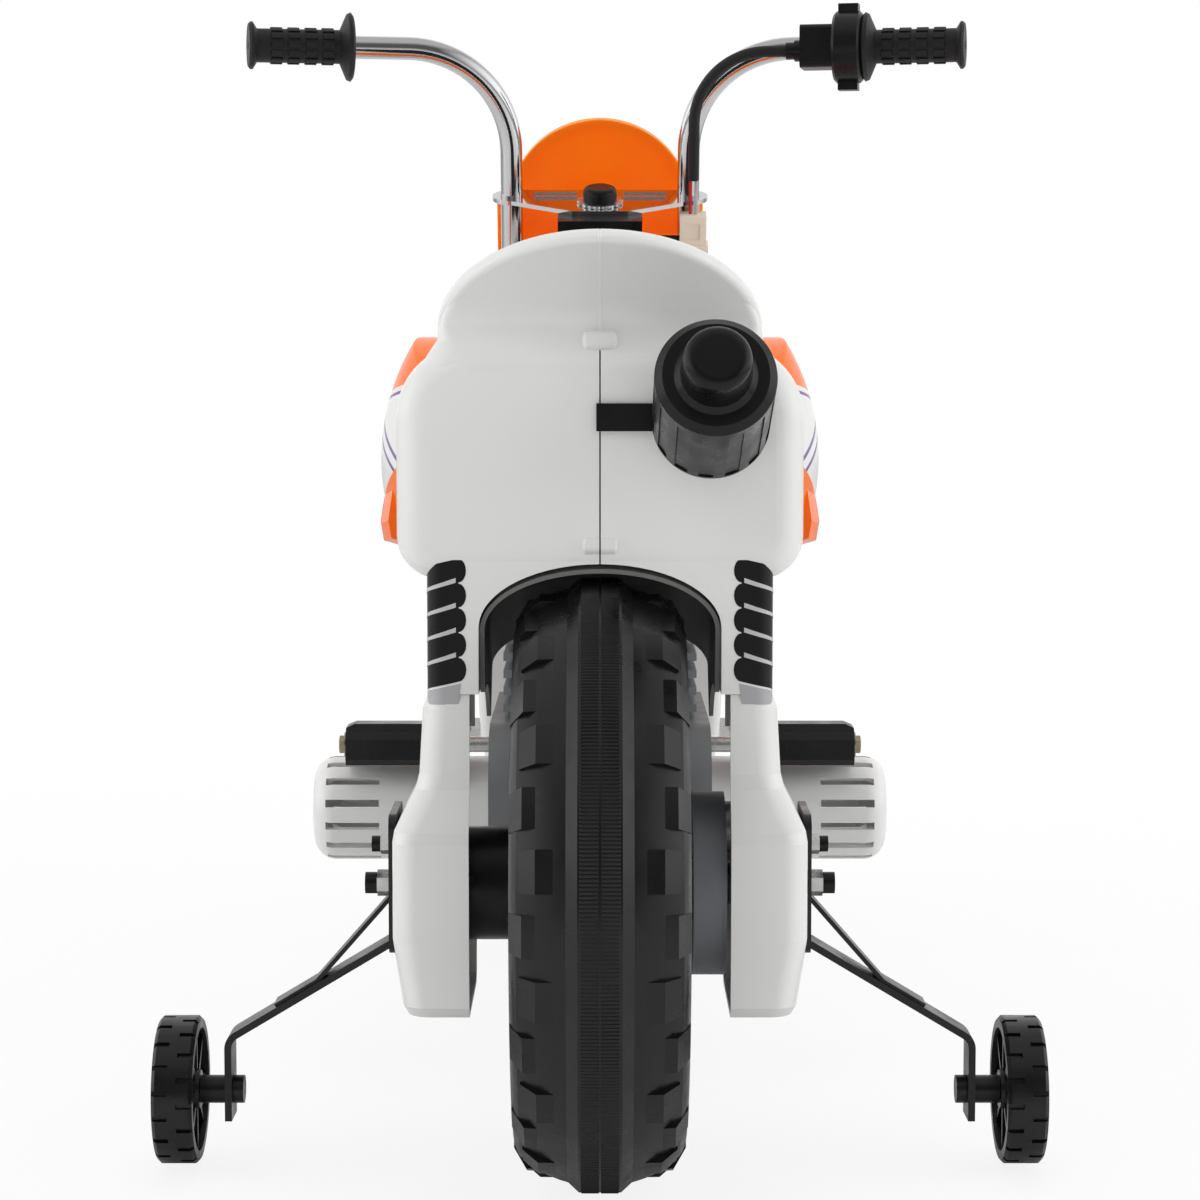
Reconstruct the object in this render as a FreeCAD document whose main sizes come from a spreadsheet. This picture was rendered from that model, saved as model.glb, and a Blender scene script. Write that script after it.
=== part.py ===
import FreeCAD
import Part
import Sketcher
import math
import os
from FreeCAD import Placement, Rotation, Vector

# Children's electric motorbike with training wheels.
# Millimetres; +Z is up, +Y is the way it rides, +X is the rider's right; the ground is Z = 0.

SIZES = [
    ("wheel_dia", 340, "outer diameter of both road wheels"),
    ("wheelbase", 680, "distance between the wheel axles"),
    ("tyre_width", 94, "tyre width over the side walls"),
    ("tyre_wall", 3, "tyre wall thickness"),
    ("bead_width", 80, "tyre width at the rim"),
    ("rim_dia", 208, "diameter of the rim seat"),
    ("ridge_width", 23, "width of the raised centre band"),
    ("ridge_height", 5.5, "height of the centre band"),
    ("ridge_slope", 6, "sloped side of the centre band"),
    ("shoulder_in", 4, "shoulder, inward of the side wall"),
    ("shoulder_drop", 18, "shoulder, below the crown"),
    ("side_drop", 32, "widest point, below the crown"),
    ("lug_count", 15, "lugs in one row"),
    ("lug_arc", 8, "length of a lug in degrees"),
    ("lug_height", 4, "height of a lug above the tyre"),
    ("rim_band", 6, "thickness of the rim band"),
    ("rim_web", 9, "thickness of the rim web"),
    ("hub_width", 99, "length of the wheel hub"),
    ("hub_dia", 36, "diameter of the wheel hub"),
    ("window_count", 6, "round windows in the rim"),
    ("window_dia", 50, "diameter of a rim window"),
    ("window_ring", 62, "distance of the windows from the axle"),
    ("axle_dia", 12, "diameter of the wheel axles"),
    ("thread_dia", 8, "thread at the ends of the rear axle"),
    ("running_gap", 0.08, "radial play of turning fits"),
    ("seat_gap", 0.3, "gap between curved pieces that meet"),
    ("rake_deg", 20, "lean of the fork"),
    ("stem_back", 18, "steering axis behind the fork tubes"),
    ("fork_half", 64, "fork tube from the middle plane"),
    ("bar_dia", 16, "diameter of the handlebar tubes"),
    ("bar_wall", 1.5, "wall of the handlebar tubes"),
    ("bar_foot", 60, "lower end of the tubes above the front axle"),
    ("bar_corner", 541.7, "corner of the handlebar above the axle"),
    ("bar_bend", 78, "bend radius of the handlebar"),
    ("bar_sweep", 11.5, "backward sweep of the grips in degrees"),
    ("clamp_high", 432, "upper clamp above the front axle"),
    ("clamp_low", 300, "lower clamp above the front axle"),
    ("clamp_thick", 3, "thickness of the clamp plates"),
    ("clamp_ring", 14, "radius of the clamp round a tube"),
    ("stem_dia", 12, "diameter of the steering stem"),
    ("head_dia", 30, "diameter of the head tube"),
    ("head_low", 306, "lower end of the head tube above the front axle"),
    ("head_high", 398, "upper end of the head tube above the front axle"),
    ("knob_dia", 24, "diameter of the stem knob"),
    ("knob_high", 12, "height of the stem knob"),
    ("fork_inside", 52, "inner face of the fork legs"),
    ("fork_outside", 92, "outer face of the fork legs"),
    ("fork_depth", 52, "fork leg, front to back"),
    ("fork_top", 246, "top of the fork legs above the axle"),
    ("fork_bottom", 38, "bottom of the fork legs below the axle"),
    ("fork_boss", 1.5, "axle boss of a fork leg, outside its face"),
    ("skin", 3, "wall of the moulded panels"),
    ("plate_half", 76, "half width of the number plate"),
    ("plate_top", 480, "top of the number plate above the axle"),
    ("plate_bottom", 318, "bottom of the number plate above the axle"),
    ("plate_ahead", 44, "face of the number plate ahead of the fork"),
    ("plate_depth", 6, "depth of the number plate rim"),
    ("fender_radius", 262, "inner radius of the front fender"),
    ("fender_half", 54, "half width of the front fender"),
    ("fender_lip", 12, "depth of the front fender edge"),
    ("fender_arc", 66, "arc of the front fender in degrees"),
    ("fender_turn", 34, "front end of the fender in degrees"),
    ("body_half", 111, "half width of the body at the rear wall"),
    ("wall_back", 378, "rear wall behind the middle"),
    ("body_top", 470, "top of the rear box"),
    ("body_bottom", 342, "bottom of the rear box"),
    ("floor_rise", 3, "rise of the body floor under the seat"),
    ("shelf_rise", 2, "battery shelf above the body floor"),
    ("wall_round", 16, "rounding round the rear wall"),
    ("shoulder_round", 40, "rounding of the upper rear corners"),
    ("arch_half", 66, "half width of the wheel arch"),
    ("arch_top", 351, "top of the wheel arch"),
    ("arch_spring", 316, "height where the wheel arch begins"),
    ("arch_front", 280, "front end of the wheel arch behind the middle"),
    ("leg_half", 94, "outer face of the upper legs"),
    ("leg_joint", 280, "joint of upper leg and leg cover"),
    ("leg_front", 300, "front face of the upper legs behind the middle"),
    ("tail_half", 89, "half width of the tail"),
    ("tail_length", 92, "tail along its slope"),
    ("tail_thick", 9, "thickness of the tail"),
    ("tail_slope", 34.3, "slope of the tail in degrees"),
    ("crease_back", 345, "crease under the tail behind the middle"),
    ("crease_high", 472, "height of the crease under the tail"),
    ("seam_gap", 0.8, "open seam between the body halves"),
    ("knuckle_dia", 11, "diameter of the seam knuckles"),
    ("knuckle_half", 9.5, "half length of a seam knuckle"),
    ("mudguard_thick", 2.5, "thickness of the inner mudguard"),
    ("mudguard_ahead", 40, "mudguard ahead of the axle in degrees"),
    ("mudguard_behind", 10, "mudguard behind the axle in degrees"),
    ("cover_out", 113, "outer face of the leg covers"),
    ("cover_in", 71, "inner edge of the leg covers"),
    ("cover_low", 104, "bottom of the leg covers"),
    ("cover_half", 53, "half depth of the leg covers"),
    ("frame_high", 308, "height of the frame backbone"),
    ("frame_tall", 28, "height of the backbone tube"),
    ("frame_bend", 112, "bend of the backbone ahead of the middle"),
    ("frame_wide", 25, "width of the backbone tube"),
    ("down_dia", 20, "diameter of the down tube"),
    ("stay_in", 78, "inner face of the rear stays"),
    ("stay_thick", 4, "thickness of the rear stays"),
    ("stay_wide", 30, "width of the rear stays"),
    ("cross_back", 195, "rear cross tube behind the middle"),
    ("cross_dia", 20, "diameter of the rear cross tube"),
    ("spacer_dia", 63, "diameter of the axle spacer"),
    ("gearbox_in", 51, "inner face of the gearbox"),
    ("gearbox_out", 69, "outer face of the gearbox"),
    ("gearbox_dia", 102, "diameter of the gearbox"),
    ("gearbox_wall", 2, "wall of the gearbox"),
    ("tooth_module", 1, "module of the gears"),
    ("output_teeth", 48, "teeth of the output gear"),
    ("small_teeth", 17, "teeth of the small idler gear"),
    ("large_teeth", 28, "teeth of the large idler gear"),
    ("pinion_teeth", 14, "teeth of the motor pinion"),
    ("gear_play", 0.2, "extra centre distance of the gears"),
    ("motor_dia", 28, "diameter of the drive motor"),
    ("motor_long", 31, "length of the drive motor"),
    ("motor_away", 36, "motor axis from the rear axle"),
    ("motor_turn", 110, "direction of the motor from the front in degrees"),
    ("engine_half", 70, "half width of the engine block"),
    ("engine_front", 110, "front of the engine block"),
    ("engine_back", 140, "back of the engine block behind the middle"),
    ("engine_low", 112, "bottom of the engine block"),
    ("engine_high", 230, "top of the crankcase"),
    ("fin_count", 5, "cooling fins"),
    ("fin_pitch", 11, "pitch of the cooling fins"),
    ("fin_thick", 5, "thickness of a cooling fin"),
    ("cup_back", 30, "engine covers behind the middle"),
    ("cup_high", 165, "height of the engine covers"),
    ("cup_dia", 68, "diameter of the engine covers"),
    ("cup_reach", 188, "end of the engine covers"),
    ("cup_round", 14, "edge radius of the engine covers"),
    ("slot_count", 14, "slots round an engine cover"),
    ("slot_wide", 5, "width of a cover slot"),
    ("peg_back", 60, "foot pegs behind the middle"),
    ("peg_high", 211, "height of the foot peg bar"),
    ("peg_reach", 164.5, "end of the foot pegs"),
    ("peg_start", 92, "inner end of the foot pegs"),
    ("peg_wide", 34, "foot peg, front to back"),
    ("peg_tall", 24, "height of a foot peg"),
    ("peg_bar_dia", 10, "diameter of the foot peg bar"),
    ("can_dia", 63, "diameter of the muffler"),
    ("can_long", 88, "length of the muffler"),
    ("can_side", 59, "muffler axis right of the middle"),
    ("can_back", 470, "muffler cap behind the middle"),
    ("can_high", 454, "height of the muffler cap"),
    ("can_tilt", 20, "tilt of the muffler in degrees"),
    ("can_knob_dia", 37, "diameter of the muffler knob"),
    ("can_knob_long", 28, "length of the muffler knob"),
    ("flute_count", 14, "flutes round the muffler"),
    ("flute_wide", 8, "width of a flute"),
    ("strap_low", 423, "lower edge of the muffler bar"),
    ("strap_tall", 15, "height of the muffler bar"),
    ("strap_long", 66, "length of the muffler bar"),
    ("small_wheel_dia", 84, "diameter of the training wheels"),
    ("small_wheel_wide", 23, "width of the training wheels"),
    ("small_wheel_lift", 2, "training wheels above the ground"),
    ("small_wheel_back", 305, "training wheels behind the middle"),
    ("track_half", 252, "outer face of the training wheels"),
    ("bracket_thick", 4, "thickness of the training wheel brackets"),
    ("bracket_wide", 24, "width of the bracket arm"),
    ("bolt_rise", 22, "bracket bolt above the rear axle"),
    ("bracket_end", 212, "end tab of the bracket from the middle"),
    ("small_axle_dia", 10, "diameter of the training wheel axles"),
    ("grip_dia", 23.5, "diameter of the grips"),
    ("grip_long", 73, "length of the left grip"),
    ("grip_flange", 48, "inner flange of the grips"),
    ("grip_end", 33, "outer flange of the grips"),
    ("grip_cap", 4, "end wall of the grips"),
    ("grip_start", 174, "inner end of the left grip from the middle"),
    ("twist_start", 185, "inner end of the twist grip from the middle"),
    ("twist_long", 71, "length of the twist grip"),
    ("housing_start", 143, "inner end of the throttle housing from the middle"),
    ("drum_dia", 50, "diameter of the throttle drum"),
    ("drum_long", 20, "length of the throttle drum"),
    ("cable_dia", 8, "diameter of the throttle cable"),
    ("cable_bend", 54, "bend radius of the throttle cable"),
    ("wire_dia", 2, "diameter of one wire"),
    ("battery_long", 150, "battery, front to back"),
    ("battery_wide", 94, "battery width"),
    ("battery_tall", 65, "battery height"),
    ("socket_dia", 5.6, "bore of the charge socket"),
    ("socket_deep", 9, "depth of the charge socket"),
    ("socket_back", 120, "charge socket behind the middle"),
    ("socket_high", 394, "height of the charge socket"),
    ("button_dia", 13, "diameter of the power button"),
    ("button_travel", 2, "travel of the power button"),
]

doc = FreeCAD.newDocument("childrens_motorbike")
sheet = doc.addObject("Spreadsheet::Sheet", "Dim")
for row, (alias, value, note) in enumerate(SIZES, 1):
    sheet.set("A%d" % row, note)
    sheet.set("B%d" % row, str(value))
    sheet.setAlias("B%d" % row, alias)
doc.recompute()

PARTS = []
X_DIR = Vector(1, 0, 0)
Y_DIR = Vector(0, 1, 0)
Z_DIR = Vector(0, 0, 1)
SIDES = (("left", -1), ("right", 1))


def dim(name):
    return float(sheet.get(name))


def size(text):
    return float(sheet.evalExpression(text))


# Building helpers

def keep(item, label):
    item.Label = label
    PARTS.append(item)
    return item


def new_body(label):
    return keep(doc.addObject("PartDesign::Body", label), label)


def origin_item(body, role):
    return next(item for item in body.Origin.OriginFeatures if item.Role == role)


def new_sketch(body, plane, offset="0"):
    sketch = body.newObject("Sketcher::SketchObject", body.Name + "_sketch")
    sketch.AttachmentSupport = [(origin_item(body, plane), "")]
    sketch.MapMode = "FlatFace"
    if offset != "0":
        sketch.setExpression("AttachmentOffset.Base.z", offset)
    return sketch


def locate(sketch, geo, spot, x, y):
    for axis, kind, text in ((-2, "DistanceX", x), (-1, "DistanceY", y)):
        if text == "0":
            sketch.addConstraint(Sketcher.Constraint("PointOnObject", geo, spot, axis))
            continue
        index = sketch.addConstraint(Sketcher.Constraint(kind, -1, 1, geo, spot, size(text)))
        sketch.setExpression("Constraints[%d]" % index, text)


def arc_between(start, end, radius):
    # A positive radius has its centre on the left of the way from start to end.
    chord = end - start
    rise = math.sqrt(max(radius ** 2 - chord.Length ** 2 / 4, 0))
    left = Vector(-chord.y, chord.x, 0).normalize()
    centre = (start + end) * 0.5 + left * math.copysign(rise, radius)
    first, last = (start, end) if radius > 0 else (end, start)
    angles = [math.atan2(point.y - centre.y, point.x - centre.x) for point in (first, last)]
    return Part.ArcOfCircle(Part.Circle(centre, Z_DIR, abs(radius)), angles[0], angles[1])


def outline(sketch, corners):
    # A corner is (x, y), or (x, y, radius) where the side after it is an arc.
    spots = [Vector(size(corner[0]), size(corner[1]), 0) for corner in corners]
    sides = []
    for index, corner in enumerate(corners):
        start = spots[index]
        end = spots[(index + 1) % len(spots)]
        if len(corner) == 2:
            geo = sketch.addGeometry(Part.LineSegment(start, end), False)
            sides.append((geo, 1, 2))
            continue
        radius = size(corner[2])
        geo = sketch.addGeometry(arc_between(start, end, radius), False)
        sides.append((geo, 1, 2) if radius > 0 else (geo, 2, 1))
    for index, side in enumerate(sides):
        following = sides[(index + 1) % len(sides)]
        sketch.addConstraint(Sketcher.Constraint("Coincident", side[0], side[2], following[0], following[1]))
    for side, corner in zip(sides, corners):
        locate(sketch, side[0], side[1], corner[0], corner[1])
        if len(corner) == 3:
            text = corner[2].lstrip("-")
            index = sketch.addConstraint(Sketcher.Constraint("Radius", side[0], size(text)))
            sketch.setExpression("Constraints[%d]" % index, text)


def circle(sketch, x, y, radius):
    centre = Vector(size(x), size(y), 0)
    geo = sketch.addGeometry(Part.Circle(centre, Z_DIR, size(radius)), False)
    locate(sketch, geo, 3, x, y)
    index = sketch.addConstraint(Sketcher.Constraint("Radius", geo, size(radius)))
    sketch.setExpression("Constraints[%d]" % index, radius)


def rectangle(sketch, x_low, x_high, y_low, y_high):
    outline(sketch, [(x_low, y_low), (x_high, y_low), (x_high, y_high), (x_low, y_high)])


def pad(body, sketch, length, side="One side", back=False, kind="PartDesign::Pad"):
    feature = body.newObject(kind, body.Name + "_pad")
    feature.Profile = sketch
    feature.SideType = side
    feature.Reversed = back
    feature.setExpression("Length", length)
    return feature


def pocket(body, sketch, length, side="One side", back=False):
    return pad(body, sketch, length, side, back, "PartDesign::Pocket")


def revolve(body, sketch, axis="H_Axis", angle="360", middle=False, kind="PartDesign::Revolution"):
    feature = body.newObject(kind, body.Name + "_turned")
    feature.Profile = sketch
    feature.ReferenceAxis = (sketch, [axis])
    feature.Midplane = middle
    feature.setExpression("Angle", angle)
    return feature


def polar(body, feature, axis, count):
    pattern = body.newObject("PartDesign::PolarPattern", body.Name + "_ring")
    pattern.Originals = [feature]
    pattern.Axis = (origin_item(body, axis), [""])
    pattern.Angle = 360
    pattern.setExpression("Occurrences", count)
    body.Tip = pattern
    return pattern


def move(item, x="0", y="0", z="0"):
    for axis, text in (("x", x), ("y", y), ("z", z)):
        if text != "0":
            item.setExpression("Placement.Base." + axis, text)
    return item


def on_fork(item):
    # Fork pieces are drawn with the front axle as origin and the fork along +Z.
    item.Placement = Placement(Vector(), Rotation(X_DIR, 1))
    move(item, "0", "Dim.wheelbase / 2", "Dim.wheel_dia / 2")
    item.setExpression("Placement.Rotation.Angle", "Dim.rake_deg")
    return item


def cylinder(name, radius, length, x="0", y="0", z="0", axis="z"):
    item = doc.addObject("Part::Cylinder", name)
    turns = {"x": Rotation(Y_DIR, 90), "y": Rotation(X_DIR, -90), "z": Rotation()}
    item.Placement = Placement(Vector(), turns[axis])
    item.setExpression("Radius", radius)
    item.setExpression("Height", length)
    return move(item, x, y, z)


def box(name, long, wide, tall, x, y, z):
    item = doc.addObject("Part::Box", name)
    item.setExpression("Length", long)
    item.setExpression("Width", wide)
    item.setExpression("Height", tall)
    return move(item, x, y, z)


def fuse(name, items):
    item = doc.addObject("Part::MultiFuse", name)
    item.Shapes = items
    return item


def cut(name, base, tool):
    item = doc.addObject("Part::Cut", name)
    item.Base = base
    item.Tool = tool
    return item


def group(name, items):
    item = doc.addObject("Part::Compound", name)
    item.Links = items
    return keep(item, name)


def feature(label, shape):
    item = doc.addObject("Part::Feature", label)
    item.Shape = shape
    return keep(item, label)


def bent_path(points, radii):
    edges = []
    start = points[0]
    for index, radius in enumerate(radii, 1):
        corner = points[index]
        back = (points[index - 1] - corner).normalize()
        ahead = (points[index + 1] - corner).normalize()
        half = back.getAngle(ahead) / 2
        first = corner + back * (radius / math.tan(half))
        last = corner + ahead * (radius / math.tan(half))
        middle = corner + (back + ahead).normalize() * (radius / math.sin(half) - radius)
        edges.append(Part.LineSegment(start, first).toShape())
        edges.append(Part.Arc(first, middle, last).toShape())
        start = last
    edges.append(Part.LineSegment(start, points[-1]).toShape())
    return Part.Wire(edges)


def round_bar(points, radii, radius):
    ring = Part.Wire(Part.Circle(points[0], points[1] - points[0], radius).toShape())
    return bent_path(points, radii).makePipeShell([ring], True, False)


def flat_bar(points, radii, thick, wide, wide_dir):
    along = (points[1] - points[0]).normalize()
    across = along.cross(wide_dir) * (thick / 2)
    wing = wide_dir * (wide / 2)
    corners = [points[0] + across + wing, points[0] - across + wing,
               points[0] - across - wing, points[0] + across - wing]
    profile = Part.makePolygon(corners + corners[:1])
    return bent_path(points, radii).makePipeShell([profile], True, False)


def rounded_rect(origin, first, second, half_first, half_second, radius):
    def spot(a, b):
        return origin + first * a + second * b

    edges = []
    turn = radius * (1 - math.sqrt(0.5))
    for a, b in ((1, 1), (-1, 1), (-1, -1), (1, -1)):
        if a * b > 0:
            start = spot(a * half_first, b * (half_second - radius))
            end = spot(a * (half_first - radius), b * half_second)
        else:
            start = spot(a * (half_first - radius), b * half_second)
            end = spot(a * half_first, b * (half_second - radius))
        middle = spot(a * (half_first - turn), b * (half_second - turn))
        edges.append((start, middle, end))
    wire = []
    for index, (start, middle, end) in enumerate(edges):
        wire.append(Part.Arc(start, middle, end).toShape())
        wire.append(Part.LineSegment(end, edges[(index + 1) % 4][0]).toShape())
    return Part.Wire(wire)


def cylinder_shape(radius, start, end):
    return Part.makeCylinder(radius, (end - start).Length, start, end - start)


def block_shape(x_low, x_high, y_low, y_high, z_low, z_high):
    corner = Vector(x_low, y_low, z_low)
    return Part.makeBox(x_high - x_low, y_high - y_low, z_high - z_low, corner)


def fork_spot(x, y, z):
    angle = math.radians(dim("rake_deg"))
    back = dim("wheelbase") / 2 + y * math.cos(angle) - z * math.sin(angle)
    high = dim("wheel_dia") / 2 + y * math.sin(angle) + z * math.cos(angle)
    return Vector(x, back, high)


# Road wheels

CROWN = "Dim.wheel_dia / 2"
WALL_SIDE = "Dim.tyre_width / 2"


def tyre(label):
    body = new_body(label)
    sketch = new_sketch(body, "XY_Plane")
    right = [
        ("Dim.bead_width / 2", "Dim.rim_dia / 2", "Dim.rim_dia * 0.3"),
        (WALL_SIDE, CROWN + " - Dim.side_drop", "Dim.side_drop * 0.65"),
        (WALL_SIDE + " - Dim.shoulder_in", CROWN + " - Dim.shoulder_drop", "Dim.wheel_dia * 0.2"),
        ("Dim.ridge_width / 2 + Dim.ridge_slope", CROWN + " - Dim.ridge_height"),
        ("Dim.ridge_width / 2", CROWN),
    ]
    left = [
        ("-Dim.ridge_width / 2", CROWN),
        ("-Dim.ridge_width / 2 - Dim.ridge_slope", CROWN + " - Dim.ridge_height", "Dim.wheel_dia * 0.2"),
        ("-" + WALL_SIDE + " + Dim.shoulder_in", CROWN + " - Dim.shoulder_drop", "Dim.side_drop * 0.65"),
        ("-" + WALL_SIDE, CROWN + " - Dim.side_drop", "Dim.rim_dia * 0.3"),
        ("-Dim.bead_width / 2", "Dim.rim_dia / 2"),
    ]
    inside = []
    for sign in ("-", ""):
        bead = (sign + "(Dim.bead_width / 2 - Dim.tyre_wall)", "Dim.rim_dia / 2")
        side = (sign + "(" + WALL_SIDE + " - Dim.tyre_wall)", CROWN + " - Dim.side_drop")
        top = (sign + "(Dim.ridge_width / 2)", CROWN + " - Dim.ridge_height - Dim.tyre_wall")
        inside += [bead, side, top] if sign else [top, side, bead]
    outline(sketch, right + left + inside)
    revolve(body, sketch)
    # Each lug rises from the tyre at its inner end to a crest and slopes down beyond it.
    rows = (
        ("Dim.ridge_width / 2 + 10.5", "7.4", WALL_SIDE + " - 14", "Dim.shoulder_drop - 6.4",
         WALL_SIDE + " - 5.5", "Dim.shoulder_drop - 3", "0"),
        ("Dim.ridge_width / 2 + 20", "11.4", WALL_SIDE + " - 7", "Dim.shoulder_drop - 2",
         WALL_SIDE + " - 0.2", "Dim.side_drop - 8.5", "180 / Dim.lug_count"),
    )
    for start, start_drop, crest, crest_drop, end, end_drop, turn in rows:
        sketch = new_sketch(body, "XY_Plane")
        if turn != "0":
            sketch.AttachmentOffset = Placement(Vector(), Rotation(X_DIR, 1))
            sketch.setExpression("AttachmentOffset.Rotation.Angle", turn)
        for sign in ("", "-"):
            outline(sketch, [
                (sign + "(" + start + ")", CROWN + " - " + start_drop + " - 6"),
                (sign + "(" + end + ")", CROWN + " - (" + end_drop + ") - 6"),
                (sign + "(" + end + ")", CROWN + " - (" + end_drop + ")"),
                (sign + "(" + crest + ")", CROWN + " - (" + crest_drop + ") + Dim.lug_height"),
                (sign + "(" + start + ")", CROWN + " - " + start_drop),
            ])
        polar(body, revolve(body, sketch, "H_Axis", "Dim.lug_arc", True), "X_Axis", "Dim.lug_count")
    return body


def rim(label):
    body = new_body(label)
    sketch = new_sketch(body, "XY_Plane")
    half = "Dim.hub_width / 2"
    web = "Dim.rim_web / 2"
    bore = "Dim.axle_dia / 2 + Dim.running_gap"
    edge = "Dim.bead_width / 2 - 2"
    seat = "Dim.rim_dia / 2 - Dim.seat_gap"
    floor = "Dim.rim_dia / 2 - Dim.seat_gap - Dim.rim_band"
    right = [("Dim.hub_dia / 2", half), ("Dim.hub_dia / 2 + 6", web),
             (floor, web), (floor, edge), (seat, edge)]
    corners = [("-(" + half + ")", bore), (half, bore)]
    corners += [(across, away) for away, across in right]
    corners += [("-(" + across + ")", away) for away, across in reversed(right)]
    outline(sketch, corners)
    revolve(body, sketch)
    sketch = new_sketch(body, "YZ_Plane")
    circle(sketch, "0", "Dim.window_ring", "Dim.window_dia / 2")
    window = pocket(body, sketch, "Dim.rim_web * 2", "Symmetric")
    polar(body, window, "X_Axis", "Dim.window_count")
    return body


REAR_Y = "-Dim.wheelbase / 2"
AXLE_Z = "Dim.wheel_dia / 2"
for name, at in (("front", ""), ("rear", REAR_Y)):
    for piece in (tyre(name + "_tyre"), rim(name + "_rim")):
        if at:
            move(piece, "0", at, AXLE_Z)
        else:
            on_fork(piece)


# Steering: fork, clamps, handlebar

def bar_points(side, reach, shift):
    # Foot, corner and end of a handlebar tube in the fork frame, moved back by shift.
    rake = math.radians(dim("rake_deg"))
    sweep = math.radians(dim("bar_sweep"))
    out = Vector(side * math.cos(sweep), -math.sin(sweep) * math.cos(rake), math.sin(sweep) * math.sin(rake))
    corner = Vector(side * dim("fork_half"), -shift, dim("bar_corner"))
    end = corner + out * ((reach - dim("fork_half")) / math.cos(sweep))
    foot = Vector(side * dim("fork_half"), -shift, dim("bar_foot"))
    return foot, corner, end, out


def handlebar(name, side):
    start, long = ("twist_start", "twist_long") if side > 0 else ("grip_start", "grip_long")
    inside = dim(long) - dim("grip_cap") - dim("seat_gap")
    reach = dim(start) + inside * math.cos(math.radians(dim("bar_sweep")))
    foot, corner, end, out = bar_points(side, reach, 0)
    outer = round_bar([foot, corner, end], [dim("bar_bend")], dim("bar_dia") / 2)
    inner = round_bar([foot, corner, end], [dim("bar_bend")], dim("bar_dia") / 2 - dim("bar_wall"))
    return on_fork(feature("handlebar_" + name, outer.cut(inner)))


def fork_leg(name, side):
    low = -dim("fork_bottom")
    high = dim("fork_top")
    near = dim("fork_inside")
    far = dim("fork_outside")
    deep = dim("fork_depth") / 2
    wall = dim("skin")

    def stage(z, outer, half_depth, inset):
        middle = Vector(side * (near + outer) / 2, 0, z)
        return rounded_rect(middle, X_DIR, Y_DIR, (outer - near) / 2 - inset, half_depth - inset, 10 - inset)

    levels = [(low, far - 6, deep - 6), (0, far, deep),
              (high * 0.55, far - 3, deep - 4), (high, far - 11, deep - 9)]
    outer = Part.makeLoft([stage(z, reach, half, 0) for z, reach, half in levels], True, False)
    insides = [(low + wall, far - 6, deep - 6)] + levels[1:3] + [(high - wall, far - 11, deep - 9)]
    shape = outer.cut(Part.makeLoft([stage(z, reach, half, wall) for z, reach, half in insides], True, False))
    tube = Vector(side * dim("fork_half"), 0, dim("bar_foot") - 10)
    roof = Vector(side * dim("fork_half"), 0, high)
    shape = shape.fuse(outer.common(cylinder_shape(dim("bar_dia") / 2 + 2.5, tube, roof)))
    start = Vector(side * near, 0, 0)
    boss = Vector(side * (far + dim("fork_boss")), 0, 0)
    shape = shape.fuse(cylinder_shape(dim("axle_dia") / 2 + 6, start + X_DIR * side, boss))
    seat = Vector(side * dim("fork_half"), 0, dim("bar_foot"))
    shape = shape.cut(cylinder_shape(dim("bar_dia") / 2 + 0.1, seat, roof + Z_DIR))
    ends = [Vector(side * (near - 5), 0, 0), Vector(side * (far + 5), 0, 0)]
    shape = shape.cut(cylinder_shape(dim("axle_dia") / 2 + 0.1, ends[0], ends[1]))
    return on_fork(feature("fork_leg_" + name, shape.removeSplitter()))


for name, side in SIDES:
    handlebar(name, side)
    fork_leg(name, side)


def clamp_plate(label, level, lobe):
    body = new_body(label)
    sketch = new_sketch(body, "XY_Plane", level)
    ring = "Dim.clamp_ring"
    tube = "Dim.fork_half"
    outline(sketch, [
        (tube, "-" + ring, ring), (tube + " + " + ring, "0", ring), (tube, ring),
        ("-" + tube, ring, ring), ("-" + tube + " - " + ring, "0", ring), ("-" + tube, "-" + ring),
        ("-" + lobe, "-Dim.stem_back - " + lobe), (lobe, "-Dim.stem_back - " + lobe),
    ])
    circle(sketch, tube, "0", "Dim.bar_dia / 2 + 0.1")
    circle(sketch, "-" + tube, "0", "Dim.bar_dia / 2 + 0.1")
    circle(sketch, "0", "-Dim.stem_back", "Dim.stem_dia / 2 + 0.05")
    pad(body, sketch, "Dim.clamp_thick")
    return body


upper_clamp = clamp_plate("upper_clamp", "Dim.clamp_high", "20")
for low in ("-7", "4"):
    bead = new_sketch(upper_clamp, "XY_Plane", "Dim.clamp_high + Dim.clamp_thick")
    rectangle(bead, "17", "Dim.fork_half - 16", low, low + " + 3")
    rectangle(bead, "-(Dim.fork_half - 16)", "-17", low, low + " + 3")
    pad(upper_clamp, bead, "1.2")
on_fork(upper_clamp)
on_fork(clamp_plate("lower_clamp", "Dim.clamp_low", "11"))

STEM_Y = "-Dim.stem_back"
stem = fuse("steering_stem", [
    cylinder("stem_rod", "Dim.stem_dia / 2", "Dim.clamp_high - Dim.clamp_low + Dim.clamp_thick + 8",
             "0", STEM_Y, "Dim.clamp_low - 3"),
    cylinder("stem_head", "Dim.stem_dia / 2 + 4", "6", "0", STEM_Y, "Dim.clamp_low - 6.05"),
    cylinder("stem_collar", "Dim.head_dia / 2 - 2", "Dim.head_low - Dim.clamp_low - Dim.clamp_thick - 0.3",
             "0", STEM_Y, "Dim.clamp_low + Dim.clamp_thick + 0.05"),
])
on_fork(keep(stem, "steering_stem"))


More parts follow.
